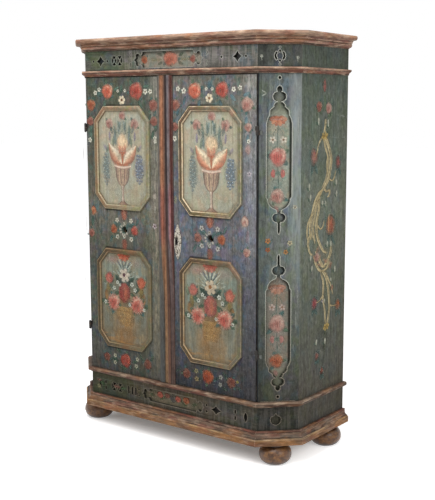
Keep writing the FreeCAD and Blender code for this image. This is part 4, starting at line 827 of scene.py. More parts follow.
    def between(self, one, other, shades, level=1, cover=0.95, soft=0.3):
        """A form between two smooth curves, shaded across from the first to the second."""
        a, b = smooth_line(one, 18)[0], smooth_line(other, 18)[0]
        t = np.linspace(0, 1, 9)[None, :]
        u = a[:, :1] + (b[:, :1] - a[:, :1]) * t
        v = a[:, 1:] + (b[:, 1:] - a[:, 1:]) * t
        shade = np.broadcast_to(blend_tones(shades, t[0])[None], u.shape + (3,))
        self.grid(u, v, level, shade, cover * (1 - soft * np.abs(2 * t - 1) ** 3))

    def solid(self, u, outline, shades, level=1, cover=0.95, soft=0.35):
        """An upright form drawn flat: half width by height from the outline, shaded from left to right."""
        self.between([(u - w, z) for z, w in outline], [(u + w, z) for z, w in outline], shades, level,
            cover, soft)

    def leaf(self, u, v, length, angle, root="2f4238", tip="4f6a5c", half=None, bend=25, level=1,
            cover=0.8):
        self.dab(u, v, length, half or length * 0.2, angle, root, tip, level, cover, bend=bend, belly=0.45,
            point=1.3)

    def bloom(self, u, v, radius, shades, level=2, squash=1, cover=0.95, edge=0.4, lit=50, folds=0.16):
        """A round soft flower head on a polar grid of radius r and angle a. The shade goes from the first
        to the last with r times (0.5 plus half the cosine from the lit side); folds are a cosine of four
        angles; the rim waves a little and the cover falls over the last part of r."""
        turn, twist = self.dice.uniform(0, 6.28, 2)
        r, a = np.meshgrid(np.linspace(0.02, 1, 10), np.linspace(0, 2 * math.pi, 29), indexing="ij")
        rim = 1 + 0.05 * np.cos(3 * a + turn) + 0.03 * np.cos(5 * a - twist)
        at_u = u + radius * squash * r * rim * np.cos(a)
        at_v = v + radius * r * rim * np.sin(a)
        side = 0.5 + 0.5 * np.cos(a - math.radians(lit))
        place = np.clip(r * (0.25 + 0.8 * side) + folds * r * np.cos(4 * a + turn), 0, 1)
        shade = blend_tones(shades, place) * (1 - 0.22 * r ** 3 * (1 - side))[..., None]
        self.grid(at_u, at_v, level, shade, cover * np.clip((1.03 - r) / edge, 0, 1) ** 0.9)

    def rose(self, u, v, radius, tones, leaves=3, level=2, squash=1):
        """A soft round rose, light on one side, with curled petals and upright strokes over its heart."""
        dark, body, light, heart = tones
        turn = self.dice.uniform(0, 360)
        for k in range(leaves):
            a = turn + k * 360 / max(1, leaves) + self.dice.uniform(-30, 30)
            c, q = turned(a)
            self.leaf(u + radius * 0.6 * c * squash, v + radius * 0.6 * q,
                radius * self.dice.uniform(0.8, 1.1), a,
                *(("2f4a48", "4a6c68"), ("3c5244", "5c705c"))[k % 2], radius * 0.3,
                self.dice.uniform(-40, 40), level - 1, 0.75)
        self.bloom(u, v, radius * 1.1, (heart, body, body, light), level, squash)
        for k in range(5):
            a = 50 + (k - 2) * 42 + self.dice.uniform(-10, 10)
            c, q = turned(a)
            self.dab(u + (c * radius * 0.62 + q * radius * 0.24) * squash,
                v + q * radius * 0.62 - c * radius * 0.24, radius * 0.5, radius * 0.14, a + 90, light,
                light if k % 2 else body, level + 2, 0.6, 0.7, bend=60, point=1.1)
        for k in range(4):
            self.dab(u + (k - 1.8) * radius * 0.26 * squash, v - radius * (0.5 - 0.1 * (k % 2)),
                radius * 0.8, radius * 0.07, 90, dark if k % 2 else heart, heart, level + 3, 0.6, 0.6,
                bend=self.dice.uniform(-40, 40), point=1.4)

    def star(self, u, v, radius, petal="cfccbb", eye="5a4a34", count=5, level=2):
        """A small open flower: short blunt petals around an eye."""
        turn = self.dice.uniform(0, 72)
        for k in range(count):
            a = turn + k * 360 / count
            c, q = turned(a)
            self.dab(u + c * radius * 0.2, v + q * radius * 0.2, radius * 0.78, radius * 0.36, a, petal,
                petal, level, 0.95, 0.4, bend=self.dice.uniform(-20, 20), belly=0.6, point=0.8)
        self.dab(u - radius * 0.3, v, radius * 0.6, radius * 0.3, 0, eye, eye, level + 2, 0.95, 0.4)

    def half_rose(self, u, v, width, tones, level=3):
        """Half a flower that opens downwards: soft petals fanned from a point above."""
        dark, light = tones
        for k in range(6):
            self.dab(u, v + 6, width * 0.54, width * 0.15, (k - 2.5) * 28 - 90, dark,
                light if k % 2 else dark, level + k % 2, 0.85, 0.6, belly=0.62, point=0.8)

    def grapes(self, u, v_top, v_low, width, skin, shine):
        """A hanging bunch: rows of small round berries that narrow downwards, each with a light dot."""
        rows = int((v_top - v_low) / 12)
        self.solid(u, [(v_low, 3), ((v_low + v_top) / 2, width * 0.42), (v_top, width * 0.3)], [skin, skin],
            1, 0.35, 0.9)
        for r in range(rows):
            s = r / (rows - 1)
            half = width * 0.5 * (0.55 + 0.9 * s) * (1 - s) ** 0.45 + 4
            count = max(1, int(half * 2 / 12))
            for k in range(count):
                x = u + (k - (count - 1) / 2) * 12 + self.dice.uniform(-3, 3)
                z = v_top - (v_top - v_low) * s + self.dice.uniform(-3, 3)
                self.dab(x - 7, z, 14, 7, 0, skin, skin, 2 + (k + r) % 2, 0.6, 0.8, point=0.6)
                if (k + r) % 2:
                    self.dab(x - 3.5, z + 2, 6.5, 3, 30, shine, shine, 5, 0.6, 0.6, point=0.6)

    def patch(self, u, v, wide, tall, colour, cover=0.5, level=0):
        """A soft cloud of colour with no outline."""
        self.bloom(u, v, tall, (colour, colour), level, wide / tall, cover, 0.95)

    def patches(self, rows, place=lambda u, v: (u, v)):
        """Soft clouds, each put where place takes it."""
        for u, v, *look in rows:
            self.patch(*place(u, v), *look)


# ---- tones of the old paint: edge, body, light and heart of a rose -----------------------------
SALMON = ("84483a", "bd6c56", "dcb498", "b05440")
BRICK = ("6c3a30", "a85246", "c08674", "8e3e34")
RUST = ("70483a", "9a5c42", "b07c5c", "884832")
DUSK = ("664640", "8c5c50", "a88474", "7c4a40")
BLUSH = ("867068", "a8867a", "c4ac9c", "94645a")
ROSE = ("885044", "b87464", "dcbca6", "a44e44")
EMBER = ("6e342c", "a0483a", "b86a56", "8c322a")
UMBER = ("4c342c", "744438", "865848", "683a2e")
COPPER = ("5c3428", "964a30", "b06c46", "843a26")
WHITE, CREAM = "cfcdbc", "dbcdb0"
HAND = {-1: "left", 1: "right"}
FRONT = Face((0, FRONT_Y), (1, 0))
FRONT_GROUND = Face((0, FRONT_Y + FRET_DEEP), (1, 0))


def cant_face(hand, deep):
    """The canted face on one hand, set back by deep; u runs from its left edge to its right one."""
    if hand > 0:
        return Face((ARRIS_X - CANT_OUT[0] * deep, FRONT_Y - CANT_OUT[1] * deep), CANT_ALONG)
    return Face((-HALF_WIDTH + CANT_OUT[0] * deep,
        FRONT_Y + CANT_LENGTH * CANT_ALONG[1] - CANT_OUT[1] * deep), (CANT_ALONG[0], -CANT_ALONG[1]))


def fruit_piece(p, cx, bright):
    """Upper panel: a goblet with two cut melons and a round fruit, three roses over it, grapes beside."""
    shift = lambda u, v: (cx + u, v)
    at = lambda *points: [shift(u, v) for u, v in points]
    # soft clouds that the brush left on the panel
    p.patches(((-60, 1180, 60, 90, "a9a296", 0.35), (70, 1120, 60, 60, "a39a7c", 0.3),
        (0, 1400, 90, 70, "8f9a92", 0.35), (-70, 1390, 40, 50, "b39a8e", 0.35),
        (80, 1400, 40, 60, "b5a08e", 0.35), (-30, 1110, 60, 40, "a8a48a", 0.3)), shift)
    # foot, stem and fluted bowl of the goblet
    p.solid(cx, [(1054, 44), (1060, 44), (1068, 26), (1080, 10)], ["7c6458", "a88c78", "8c7060", "70584e"],
        1, 0.85, 0.4)
    p.solid(cx, [(1076, 11), (1100, 7), (1134, 8), (1152, 14)], ["74605a", "d8c8b4", "a48c7c", "6c5650"], 1,
        0.9, 0.3)
    p.solid(cx, [(1148, 12), (1160, 28), (1180, 38), (1208, 43), (1238, 46)],
        ["6c5c56", "9c8474", "c4ac90", "8c7468", "c8b094", "8c7468", "bca088", "8c786c", "64564e"], 1, 0.85,
        0.3)
    for k in range(-3, 4):
        p.dab(cx + k * 11, 1162 + abs(k) * 6, 70 - abs(k) * 7, 2.2, 90 - k * 3, "74584e", "8c6c60", 2, 0.6)
    p.between(at((-50, 1230), (0, 1222), (52, 1230)), at((-50, 1244), (0, 1236), (52, 1244)),
        ["8c6458", "e0ccb8", "c8a898"], 3, 0.85)
    # two fat half-moon slices of melon: orange rind outside, cream flesh inside
    rind = ["a06a54", "bc7c62", "d2a082", "e4ceac", "e8dcc0", "c8a68a"] if bright else ["946452", "ae7a62",
        "c89c80", "dccaac", "e2d8c2", "bca08a"]
    p.solid(cx, [(1238, 42), (1252, 62), (1275, 70), (1300, 58)],
        ["a0604c", "b8785e", "a8684e", "b87458", "9c5c4a"], 3, 0.8, 0.8)
    p.between(at((-84, 1338), (-82, 1306), (-74, 1276), (-52, 1252), (-4, 1243)),
        at((-80, 1342), (-58, 1328), (-30, 1314), (-8, 1294), (-2, 1248)), rind, 4, 0.9, 0.45)
    p.between(at((86, 1328), (84, 1304), (76, 1276), (54, 1252), (6, 1243)),
        at((82, 1332), (60, 1322), (34, 1310), (10, 1292), (4, 1248)), rind, 4, 0.88, 0.45)
    p.dab(cx - 16, 1262, 44, 12, 92, "9a8a78", "a09880", 5, 0.5, 0.8, belly=0.35, point=1.4)
    # the round fruit, cream above and red at its foot
    p.bloom(cx + 2, 1340, 44, ("e2c8a4", "dcb894", "c8967c"), 5, 0.86, 0.85, 0.5, 250, 0.05)
    for u, v, length in ((-14, 1290, 44), (2, 1286, 40), (16, 1290, 46)):
        p.dab(cx + u, v, length, 10, 90, "a8604c", "c08a74", 6, 0.55, 0.8)
    p.dab(cx - 8, 1326, 52, 10, 92, "e8d8b8", "ecdcc0", 7, 0.45, 0.9)
    # stems and grey-blue leaves that lead up to the roses
    cold = ("5c6c6c", "889a98") if bright else ("5c6c6c", "8a9898")
    for hand in (-1, 1):
        p.line(at((hand * 10, 1378), (hand * 42, 1392), (hand * 66, 1412)), 2.2, "5f6e60", level=1,
            cover=0.55)
        for u, v, length, angle, one, two in ((20, 1384, 56, 100) + cold,
                (40, 1366, 58, 84, "4c5a54", "74867c"), (58, 1380, 50, 72, "525c5c", "7a8884"),
                (38, 1328, 64, 84) + cold, (56, 1322, 56, 100, "5d6c5e", "8a9682"),
                (12, 1398, 46, 74, "55635a", "7f9184"), (74, 1348, 44, 86, "6f6878", "948c9c")):
            p.leaf(cx + hand * u, v, length, 90 - hand * (90 - angle), one, two, length * 0.16, 16 * hand,
                2, 0.7)
    p.line(at((0, 1386), (3, 1412), (2, 1440)), 2.2, "6a7460", level=1, cover=0.6)
    p.rose(cx - 77, 1426, 23, BLUSH, 2, 2)
    p.rose(cx + 3, 1463, 21, BLUSH, 2, 2)
    p.rose(cx + 76, 1425, 24, BLUSH, 2, 2)
    # grapes on both sides, with their leaves
    p.patch(cx - 98, 1230, 32, 80, "7c8884", 0.8, 1)
    p.patch(cx + 102, 1230, 38, 70, "718088" if bright else "76808c", 0.85, 1)
    p.grapes(cx - 100, 1290, 1152, 48, "7a8684", "b4bcb4")
    p.grapes(cx + 102, 1284, 1162, 58, "687682" if bright else "6c7484", "bcc6c8")
    for hand in (-1, 1):
        p.leaf(cx + hand * 100, 1300, 44, 90 + hand * 34, "5f6f60", "8a9684", 11, 20, 2, 0.6)
        p.leaf(cx + hand * 92, 1304, 38, 90 - hand * 40, "6d6478", "9a90a0", 9, 20, 2, 0.5)


def basket(p, cx, top, low, cover):
    """A worn basket, now mostly rubbed: ochre strips along and down a body that narrows to its foot."""
    p.solid(cx, [(low, 40), (low + 14, 46), ((low + top) / 2, 55), (top, 66)],
        ["8a6c48", "9c7c52", "b0905e", "a88454", "b08c5c", "94744c", "846848"], 1, cover, 0.8)
    for r in range(6):
        z = low + 8 + r * (top - low - 12) / 5
        half = 38 + 24 * r / 5
        p.dab(cx - half, z, half * 2, 3.2, 0, "c0a06a" if r % 2 else "7d5c3a",
            "a88658" if r % 2 else "8c6844", 2, cover * 0.7, 0.7, bend=(r - 2.5) * 4, point=0.6)
    for k in range(-3, 4):
        p.dab(cx + k * 14, low + 6, (top - low) * 0.9, 2.6, 90 - k * 2.4, "8a6642", "b4945c", 3,
            cover * 0.45, 0.7, point=0.8)


def garland(p, roses, dots, leaves, dot_colour, eye):
    """The band round a panel: soft roses, small dotted blossoms and leaves between them."""
    for u, v, length, angle, one, two in leaves:
        p.leaf(u, v, length, angle, one, two, length * 0.24, 20, 1, 0.85)
    for u, v, r, tones in roses:
        p.rose(u, v, r, tones, 5, squash=1.05)
    for u, v, r in dots:
        p.star(u, v, r * 0.9, dot_colour, eye)


def cluster(p, cx, tones, petal):
    """Between the panels: six small blossoms round a spray of leaves, with a rose on each hand."""
    side, other, low = tones
    for u, v, angle, bend in ((-30, 962, 150, 30), (30, 962, 30, -30), (-30, 930, 210, -30),
            (30, 930, 330, 30), (-2, 992, 90, 0), (-4, 940, 270, 0), (-14, 950, 120, 20),
            (14, 950, 60, -20), (-70, 920, 240, 20), (70, 970, 60, 20)):
        p.leaf(cx + u, v, 42, angle, "35504a", "587470", 8, bend, cover=0.75)
    for u, v, r in ((-43, 990, 12), (43, 992, 12), (0, 975, 9), (-42, 914, 12), (0, 917, 9), (43, 908, 12)):
        p.star(cx + u, v, r, petal, "5c4a3c")
    for k in range(7):
        a = 100 + k * 36
        c, q = turned(a)
        p.dab(cx + c * 16, VENT_Z + q * 16, 15, 5.5, a, petal, "a49c90", 2, 0.8, 0.5)
    p.rose(cx - 64, 948, 21, side, 3)
    p.rose(cx + 64, 948, 22, other, 3)
    p.dab(cx + 1, 1050, 58, 22, 270, "8a5040", "a4644e", 2, 0.8, 0.7, belly=0.4, point=0.7)
    p.dab(cx + 1, 1044, 44, 9, 270, low[2], low[1], 3, 0.4, 0.8, belly=0.4, point=0.9)
    p.dab(cx + 1, 906, 50, 18, 270, "804a3c", "985c48", 2, 0.75, 0.7, belly=0.4, point=0.7)


def bouquet(p, cx, tones, cold, cover):
    """Lower panel: a basket of flowers, with an open blossom, two roses, three other flowers and feathery
    sprays; leaves and sprays are mirrored about the middle."""
    red, pink, ember, petal, eye = tones
    shift = lambda u, v: (cx + u, v)
    dim, pale, bright = cold
    p.patches(((-66, 806, 60, 26, "b08880", 0.5), (70, 800, 56, 26, "a89488", 0.45),
        (-90, 690, 34, 60, "96866a", 0.45), (96, 680, 30, 60, "96784e", 0.5),
        (0, 690, 80, 50, "4c5850", 0.6), (-90, 560, 34, 50, "7c7c68", 0.4),
        (96, 560, 30, 50, "72705c", 0.4), (0, 470, 90, 30, "8a7050", 0.45),
        (0, 610, 70, 40, "6c5c48", 0.5)), shift)
    basket(p, cx + 4, 590, 500, cover)
    # feathery sprays: dark strokes with fine pale ones between, and scattered buds
    for hand in (-1, 1):
        for k in range(9):
            a = 90 + hand * (14 + k * 8)
            p.dab(cx + hand * 34, 706, 104 - abs(k - 4) * 5, 5.5, a, "434c46" if k % 2 else dim,
                "5c6860" if k % 2 else pale, 1 + k % 2, 0.7, 0.6, bend=hand * -14, belly=0.7)
        for k in range(16):
            reach, a = p.dice.uniform(60, 118), 90 + hand * p.dice.uniform(12, 74)
            c, q = turned(a)
            p.dab(cx + hand * 30 + c * reach, 704 + q * reach, p.dice.uniform(12, 26), 2.6,
                a + p.dice.uniform(-14, 14), bright, pale, 3, 0.6, 0.6)
        for u, v, length, angle, one, two in ((98, 640, 56, 82, "6a5c38", "8c7c50"),
                (118, 664, 60, 268, "7a5c3a", "9a7850"), (112, 612, 44, 350, "334840", "587060"),
                (60, 664, 46, 40, "2f3e38", "4c6656"), (30, 694, 46, 60, "28362f", "4a5f52"),
                (24, 712, 44, 30, "34483f", "5a7466"), (122, 690, 50, 84, "5c6a56", "7c8a72"),
                (46, 630, 40, 300, "2c3a30", "4c5c46"), (82, 690, 50, 100, "344a44", "5c766c"),
                (66, 640, 40, 150, "2f4036", "4f6450"), (100, 590, 44, 20, "4c5c4a", "6c7c60"),
                (18, 690, 50, 84, "2f3c3c", "50605c")):
            p.leaf(cx + hand * u, v, length, 90 - hand * (90 - angle), one, two, length * 0.25, hand * 20,
                2, 0.8)
    for k in range(9):
        p.dab(cx - 2 + (k - 4) * 3, 760, 56, 4, 90 - (k - 4) * 12, "4a5658" if k % 2 else pale,
            "6c7c84" if k % 2 else bright, 2 + k % 2, 0.75, 0.6, belly=0.7)
    p.half_rose(cx - 3, 836, 76, ember, 3)
    p.dab(cx - 40, 828, 80, 9, 0, ember[1], ember[0], 4, 0.55, 0.8)
    # two open flowers on their stems, and the closed one in the middle with its warm heart
    for u, v, size, (one, two) in ((-96, 718, 30, (red[1], pink[1])), (103, 712, 32, ember)):
        p.leaf(cx + u, v - size, size, 270, "3c5048", "566c5c", 7, cover=0.7)
        p.bloom(cx + u, v, size, (two, one, one), 3, 0.86, 0.85, 0.45, 60)
        for k in range(5):
            p.dab(cx + u + (k - 2) * 6, v - size * 0.7, size * 1.25, 5, 90 - (k - 2) * 13,
                one if k % 2 else two, two, 4, 0.45, 0.8, belly=0.7, point=0.9)
    p.dab(cx - 1, 610, 92, 36, 91, red[0], red[1], 4, 0.9, 0.6, belly=0.48, point=0.7)
    for u, half, code, cover_here in ((-22, 10, red[3], 0.6), (-10, 9, red[1], 0.6), (6, 15, red[2], 0.6),
            (24, 7, red[3], 0.5)):
        p.dab(cx + u, 620, 68, half, 91 - u * 0.25, code, code, 5, cover_here, 0.7, point=0.9)
    for u, size in ((-70, 36), (76, 39)):
        p.rose(cx + u, 607, size, pink, 4, 4)
        for k in range(15):
            a = k * 24 + p.dice.uniform(-8, 8)
            c, q = turned(a)
            p.dab(cx + u + c * size * 0.72, 607 + q * size * 0.72, size * 0.5, 2.8, a, pink[2],
                pink[1] if k % 3 else pink[0], 6, 0.6, 0.6, bend=20)
    # the open blossom, broad-petalled round a dark eye
    p.bloom(cx, 738, 25, (petal, petal), 4, 1, 0.95, 0.35)
    for k in range(6):
        a = 60 * k + 12
        c, q = turned(a)
        p.dab(cx + c * 8, 738 + q * 8, 25, 11, a, "a89c8c", petal, 5, 0.85, 0.6, belly=0.65, point=0.6)
    p.bloom(cx - 2, 740, 10, (eye, eye), 7, 1, 0.95, 0.3)
    for u, v, r in ((46, 700, 13), (-66, 674, 12), (64, 676, 12), (-122, 602, 11), (30, 604, 10),
            (118, 590, 10), (-44, 702, 11), (-30, 690, 9)):
        p.star(cx + u, v, r * 0.9, "c4c6b8", "3f423c", level=5)


def left_door_painting():
    """Left door: roses and white blossoms round the upper field, fruit and flower pieces in both."""
    p = Painting(FRONT, 11)
    dark, green, grey = "36483f", "4f6a5c", "5f7468"
    garland(p, ((-348, 1569, 32, SALMON), (-174, 1569, 37, BRICK), (-452, 1508, 26, RUST),
        (-72, 1506, 26, DUSK), (-459, 1435, 21, DUSK), (-72, 1438, 21, DUSK)),
        ((-423, 1563, 13), (-399, 1577, 12), (-283, 1570, 9), (-240, 1571, 9), (-119, 1566, 15),
        (-90, 1566, 13), (-463, 1350, 14), (-66, 1366, 11), (-65, 1350, 10)),
        ((-305, 1556, 46, 160, dark, green), (-214, 1556, 46, 20, dark, green),
        (-262, 1560, 40, 90, dark, green), (-420, 1540, 46, 200, dark, green),
        (-100, 1530, 40, 340, dark, green), (-455, 1400, 44, 270, green, grey),
        (-70, 1400, 44, 250, dark, green), (-360, 1530, 46, 250, green, grey),
        (-160, 1532, 44, 300, dark, green), (-458, 1382, 40, 80, green, grey),
        (-64, 1392, 40, 80, dark, green), (-310, 1575, 36, 20, green, grey),
        (-400, 1546, 40, 30, dark, green), (-130, 1586, 34, 10, green, grey),
        (-90, 1470, 34, 260, dark, green)), WHITE, "6a5a48")
    p.star(-260, 1530, 21, CREAM, "6d4a34", 6)
    fruit_piece(p, LEFT_FIELD_X + 1, False)
    cluster(p, -259, (RUST, BRICK, SALMON), "c4c0ae")
    p.line([(-452, 1060), (-440, 1000), (-420, 950), (-395, 900)], 3, "3d4740", level=1, cover=0.4)
    p.bloom(-449, 1026, 24, RUST[::-1], 2, 0.75)
    p.leaf(-452, 1000, 50, 260, dark, green)
    p.rose(-466, 920, 20, DUSK, 3)
    p.bloom(-70, 1112, 17, ("b0a698", "a49a8e", "8f8a7e"), 2, 0.7, 0.8)
    p.dab(-70, 1068, 36, 5, 268, "b8b6a6", "8d9088", 2, 0.45)
    p.star(-74, 978, 14, "a99c9c", "5f4044")
    bouquet(p, LEFT_FIELD_X + 1, (("783c34", "a0524a", "b46c54", "8c4440"), ROSE, ("a4543e", "c07258"),
        "d8ccba", "4c3038"), ("5f7070", "a4b0a4", "c4cabc"), 0.6)
    # under the lower field
    for u, v, angle in ((-310, 330, 200), (-222, 334, 20), (-160, 350, 120), (-290, 366, 140),
            (-350, 330, 20), (-300, 308, 330), (-180, 318, 200), (-110, 356, 60)):
        p.leaf(u, v, 36, angle, "2f4a3a", "46644a", 8, cover=0.55)
    p.rose(-382, 338, 21, UMBER, 3)
    p.rose(-264, 337, 32, EMBER, 4)
    p.rose(-127, 340, 24, UMBER, 3)
    for u, v, r in ((-330, 352, 11), (-331, 318, 11), (-191, 354, 11), (-198, 320, 11)):
        p.star(u, v, r, "aaa892", "54503c")
    p.finish("left_door_painting", "left_door", "door_paint")


def right_door_painting():
    """Right door: the same order of flowers, bluer and more worn."""
    p = Painting(FRONT, 23)
    dark, green, grey = "3a4f50", "557078", "6f8484"
    garland(p, ((158, 1567, 33, SALMON), (303, 1570, 32, BRICK), (431, 1510, 29, BLUSH),
        (52, 1508, 24, DUSK), (48, 1416, 20, DUSK), (436, 1418, 18, BLUSH)),
        ((67, 1576, 13), (99, 1567, 15), (221, 1574, 9), (252, 1574, 9), (363, 1571, 13), (395, 1577, 12),
        (47, 1366, 14), (438, 1362, 11)),
        ((200, 1560, 44, 160, dark, green), (268, 1560, 44, 20, dark, green),
        (236, 1570, 40, 90, dark, green), (110, 1545, 40, 250, dark, green),
        (345, 1550, 40, 320, green, grey), (60, 1460, 40, 80, dark, green),
        (430, 1462, 40, 260, green, grey), (50, 1390, 38, 90, dark, green),
        (436, 1390, 38, 260, green, grey), (190, 1532, 42, 250, dark, green),
        (290, 1532, 42, 290, dark, green), (410, 1545, 38, 20, green, grey)), WHITE, "6c6058")
    p.star(236, 1536, 20, CREAM, "7d5a3c", 6)
    p.dab(48, 1122, 40, 9, 270, "b8a878", "8f8a68", 2, 0.5, 0.7)
    fruit_piece(p, RIGHT_FIELD_X + 5, True)
    cluster(p, 235, (DUSK, RUST, SALMON), "b3afa6")
    p.bloom(421, 1034, 27, BLUSH[::-1], 2, 0.8)
    p.dab(436, 1000, 60, 12, 262, "a08084", "8a7278", 2, 0.4, 0.8)
    p.rose(430, 905, 19, BLUSH, 3)
    p.bloom(436, 1330, 24, ("b08e88", "a4908a", "948a86"), 2, 0.7, 0.8)
    p.star(442, 1230, 12, "b0a8ac", "6a6470")
    bouquet(p, RIGHT_FIELD_X - 1, (("8c5450", "a8645a", "b4745a", "94504c"), ROSE, ("a85c4e", "c07c68"),
        "d8c6a6", "8c5a28"), ("6c7c78", "b0b6a6", "c8ccbc"), 0.5)
    # under the lower field
    for u, v, angle in ((190, 330, 200), (258, 338, 20), (320, 350, 120), (130, 352, 20), (372, 330, 330),
            (70, 350, 200), (300, 310, 340)):
        p.leaf(u, v, 34, angle, "2c4038", "40584a", 8, cover=0.55)
    p.rose(103, 338, 23, UMBER, 3)
    p.rose(222, 342, 31, COPPER, 4)
    p.rose(349, 337, 24, UMBER, 3)
    for u, v, r, c in ((158, 358, 12, "8a8260"), (160, 322, 12, "8c7c58"), (293, 352, 11, "94958c"),
            (290, 318, 11, "8e9088"), (382, 346, 7, "9c9050")):
        p.star(u, v, r, c, "4c4838")
    p.finish("right_door_painting", "right_door", "door_paint")


def cant_window_painting(hand):
    """Flowers up each window of the canted corner, on the board behind the fretwork."""
    p = Painting(cant_face(hand, FRET_DEEP), 31 + hand)
    m = CANT_LENGTH / 2 if hand < 0 else CANT_LENGTH / 2 - 3
    for low, faded in ((0, False), (-692, True)):
        k = "a8968c" if faded else "c0b8a8"
        z = lambda v: v + low
        for v, wide, tall, code, cover in ((1440, 40, 40, "b09a86", 0.35), (1350, 34, 70, "8c8c84", 0.35),
                (1240, 34, 60, "a09088", 0.35), (1170, 30, 50, "7c8c88", 0.35)):
            p.patch(m, z(v), wide, tall, code, cover)
        p.line([(m, z(1432)), (m - 3, z(1350)), (m + 2, z(1300))], 2.4, "52645a", level=1, cover=0.6)
        p.line([(m - 2, z(1270)), (m + 2, z(1200)), (m, z(1140))], 2.4, "52645a", level=1, cover=0.6)
        p.half_rose(m, z(1456), 72, ("a0624c", "c48a6c") if not faded else ("9a6c58", "b08874"), 3)
        p.dab(m - 34, z(1452), 68, 4, 0, "a88a80", "a88a80", 5, 0.5, 0.7, bend=16)
        for side in (-1, 1):
            p.line([(m + side * 3, z(1420)), (m + side * 16, z(1400)), (m + side * 22, z(1384))], 1.8,
                "6b7a6c", level=1, cover=0.6)
            p.star(m + side * 22, z(1369), 15, k, "7a5c48")
            p.leaf(m + side * 8, z(1240), 46, 90 + side * 128, "5f7468", "87988c", 8, side * 40)
            p.leaf(m + side * 8, z(1344), 36, 90 - side * 150, "5a6c60", "7c8a7c", 7)
            p.line([(m + side * 2, z(1236)), (m + side * 14, z(1222)), (m + side * 20, z(1200))], 2,
                "5c7064", level=1, cover=0.6)
            p.bloom(m + side * 20, z(1232), 20,
                ("a86058", "b07068", "9a5850") if not faded else ("98645c", "a07870", "8c6058"), 3, 0.55,
                0.85)
            p.leaf(m + side * 6, z(1170), 42, 90 + side * 120, "6b7c70", "94a094", 7, side * 50)
        p.rose(m, z(1300), 38, ("84504a", "b8746a", "dcb8a6", "a85a52") if not faded else BLUSH, 3, 3, 0.9)
        p.rose(m - 2, z(1140), 30, BLUSH if not faded else RUST, 3, 2)
        p.dab(m - 12, z(1100), 30, 11, 300, "96605c", "a88078", 3, 0.55, 0.8)
    p.finish("cant_flowers_" + HAND[hand], "carcass", "carcass_green")


def cant_front_painting(hand):
    """Small flowers on the fretwork itself, beside the middle of the canted corner."""
    p = Painting(cant_face(hand, 0), 41 + hand)
    side = lambda u: u if hand > 0 else CANT_LENGTH - u
    for u, v, a in ((48, 940, 60), (140, 930, 120), (126, 928, 250), (50, 900, 300), (44, 930, 90),
            (128, 900, 80)):
        p.leaf(side(u), v, 34, a, "3d564a", "587262", 6, cover=0.5)
    for u, v, r, c in ((44, 958, 12, "a06c40"), (44, 921, 11, "8a5234"), (136, 948, 12, "a8a084"),
            (119, 911, 11, "9c7248"), (156, 1096, 10, "b0ac98")):
        p.star(side(u), v, r, c, "5a4434")
    for u, v in ((16, 1700), (163, 1696)):
        p.star(side(u), v, 6.5, "a0a296", "6c6c60")
        p.dab(side(u), v - 20, 22, 3.5, 92, "84887c", "a4a89a", 1, 0.5)
    for turn in (-32, 32):
        p.dab(side(36), 1555, 24, 3, 90 + turn + 90, "b0b4a6", "a0a89e", 1, 0.55)
    for u, v, length in ((153, 520, 26), (163, 640, 46), (166, 1470, 120), (170, 760, 90)):
        p.dab(side(u), v, length, 3, 271, "b0b2a6", "9aa09a", 0, 0.4, point=1.3)
    p.finish("cant_sprigs_" + HAND[hand], "carcass", "fretwork_green")


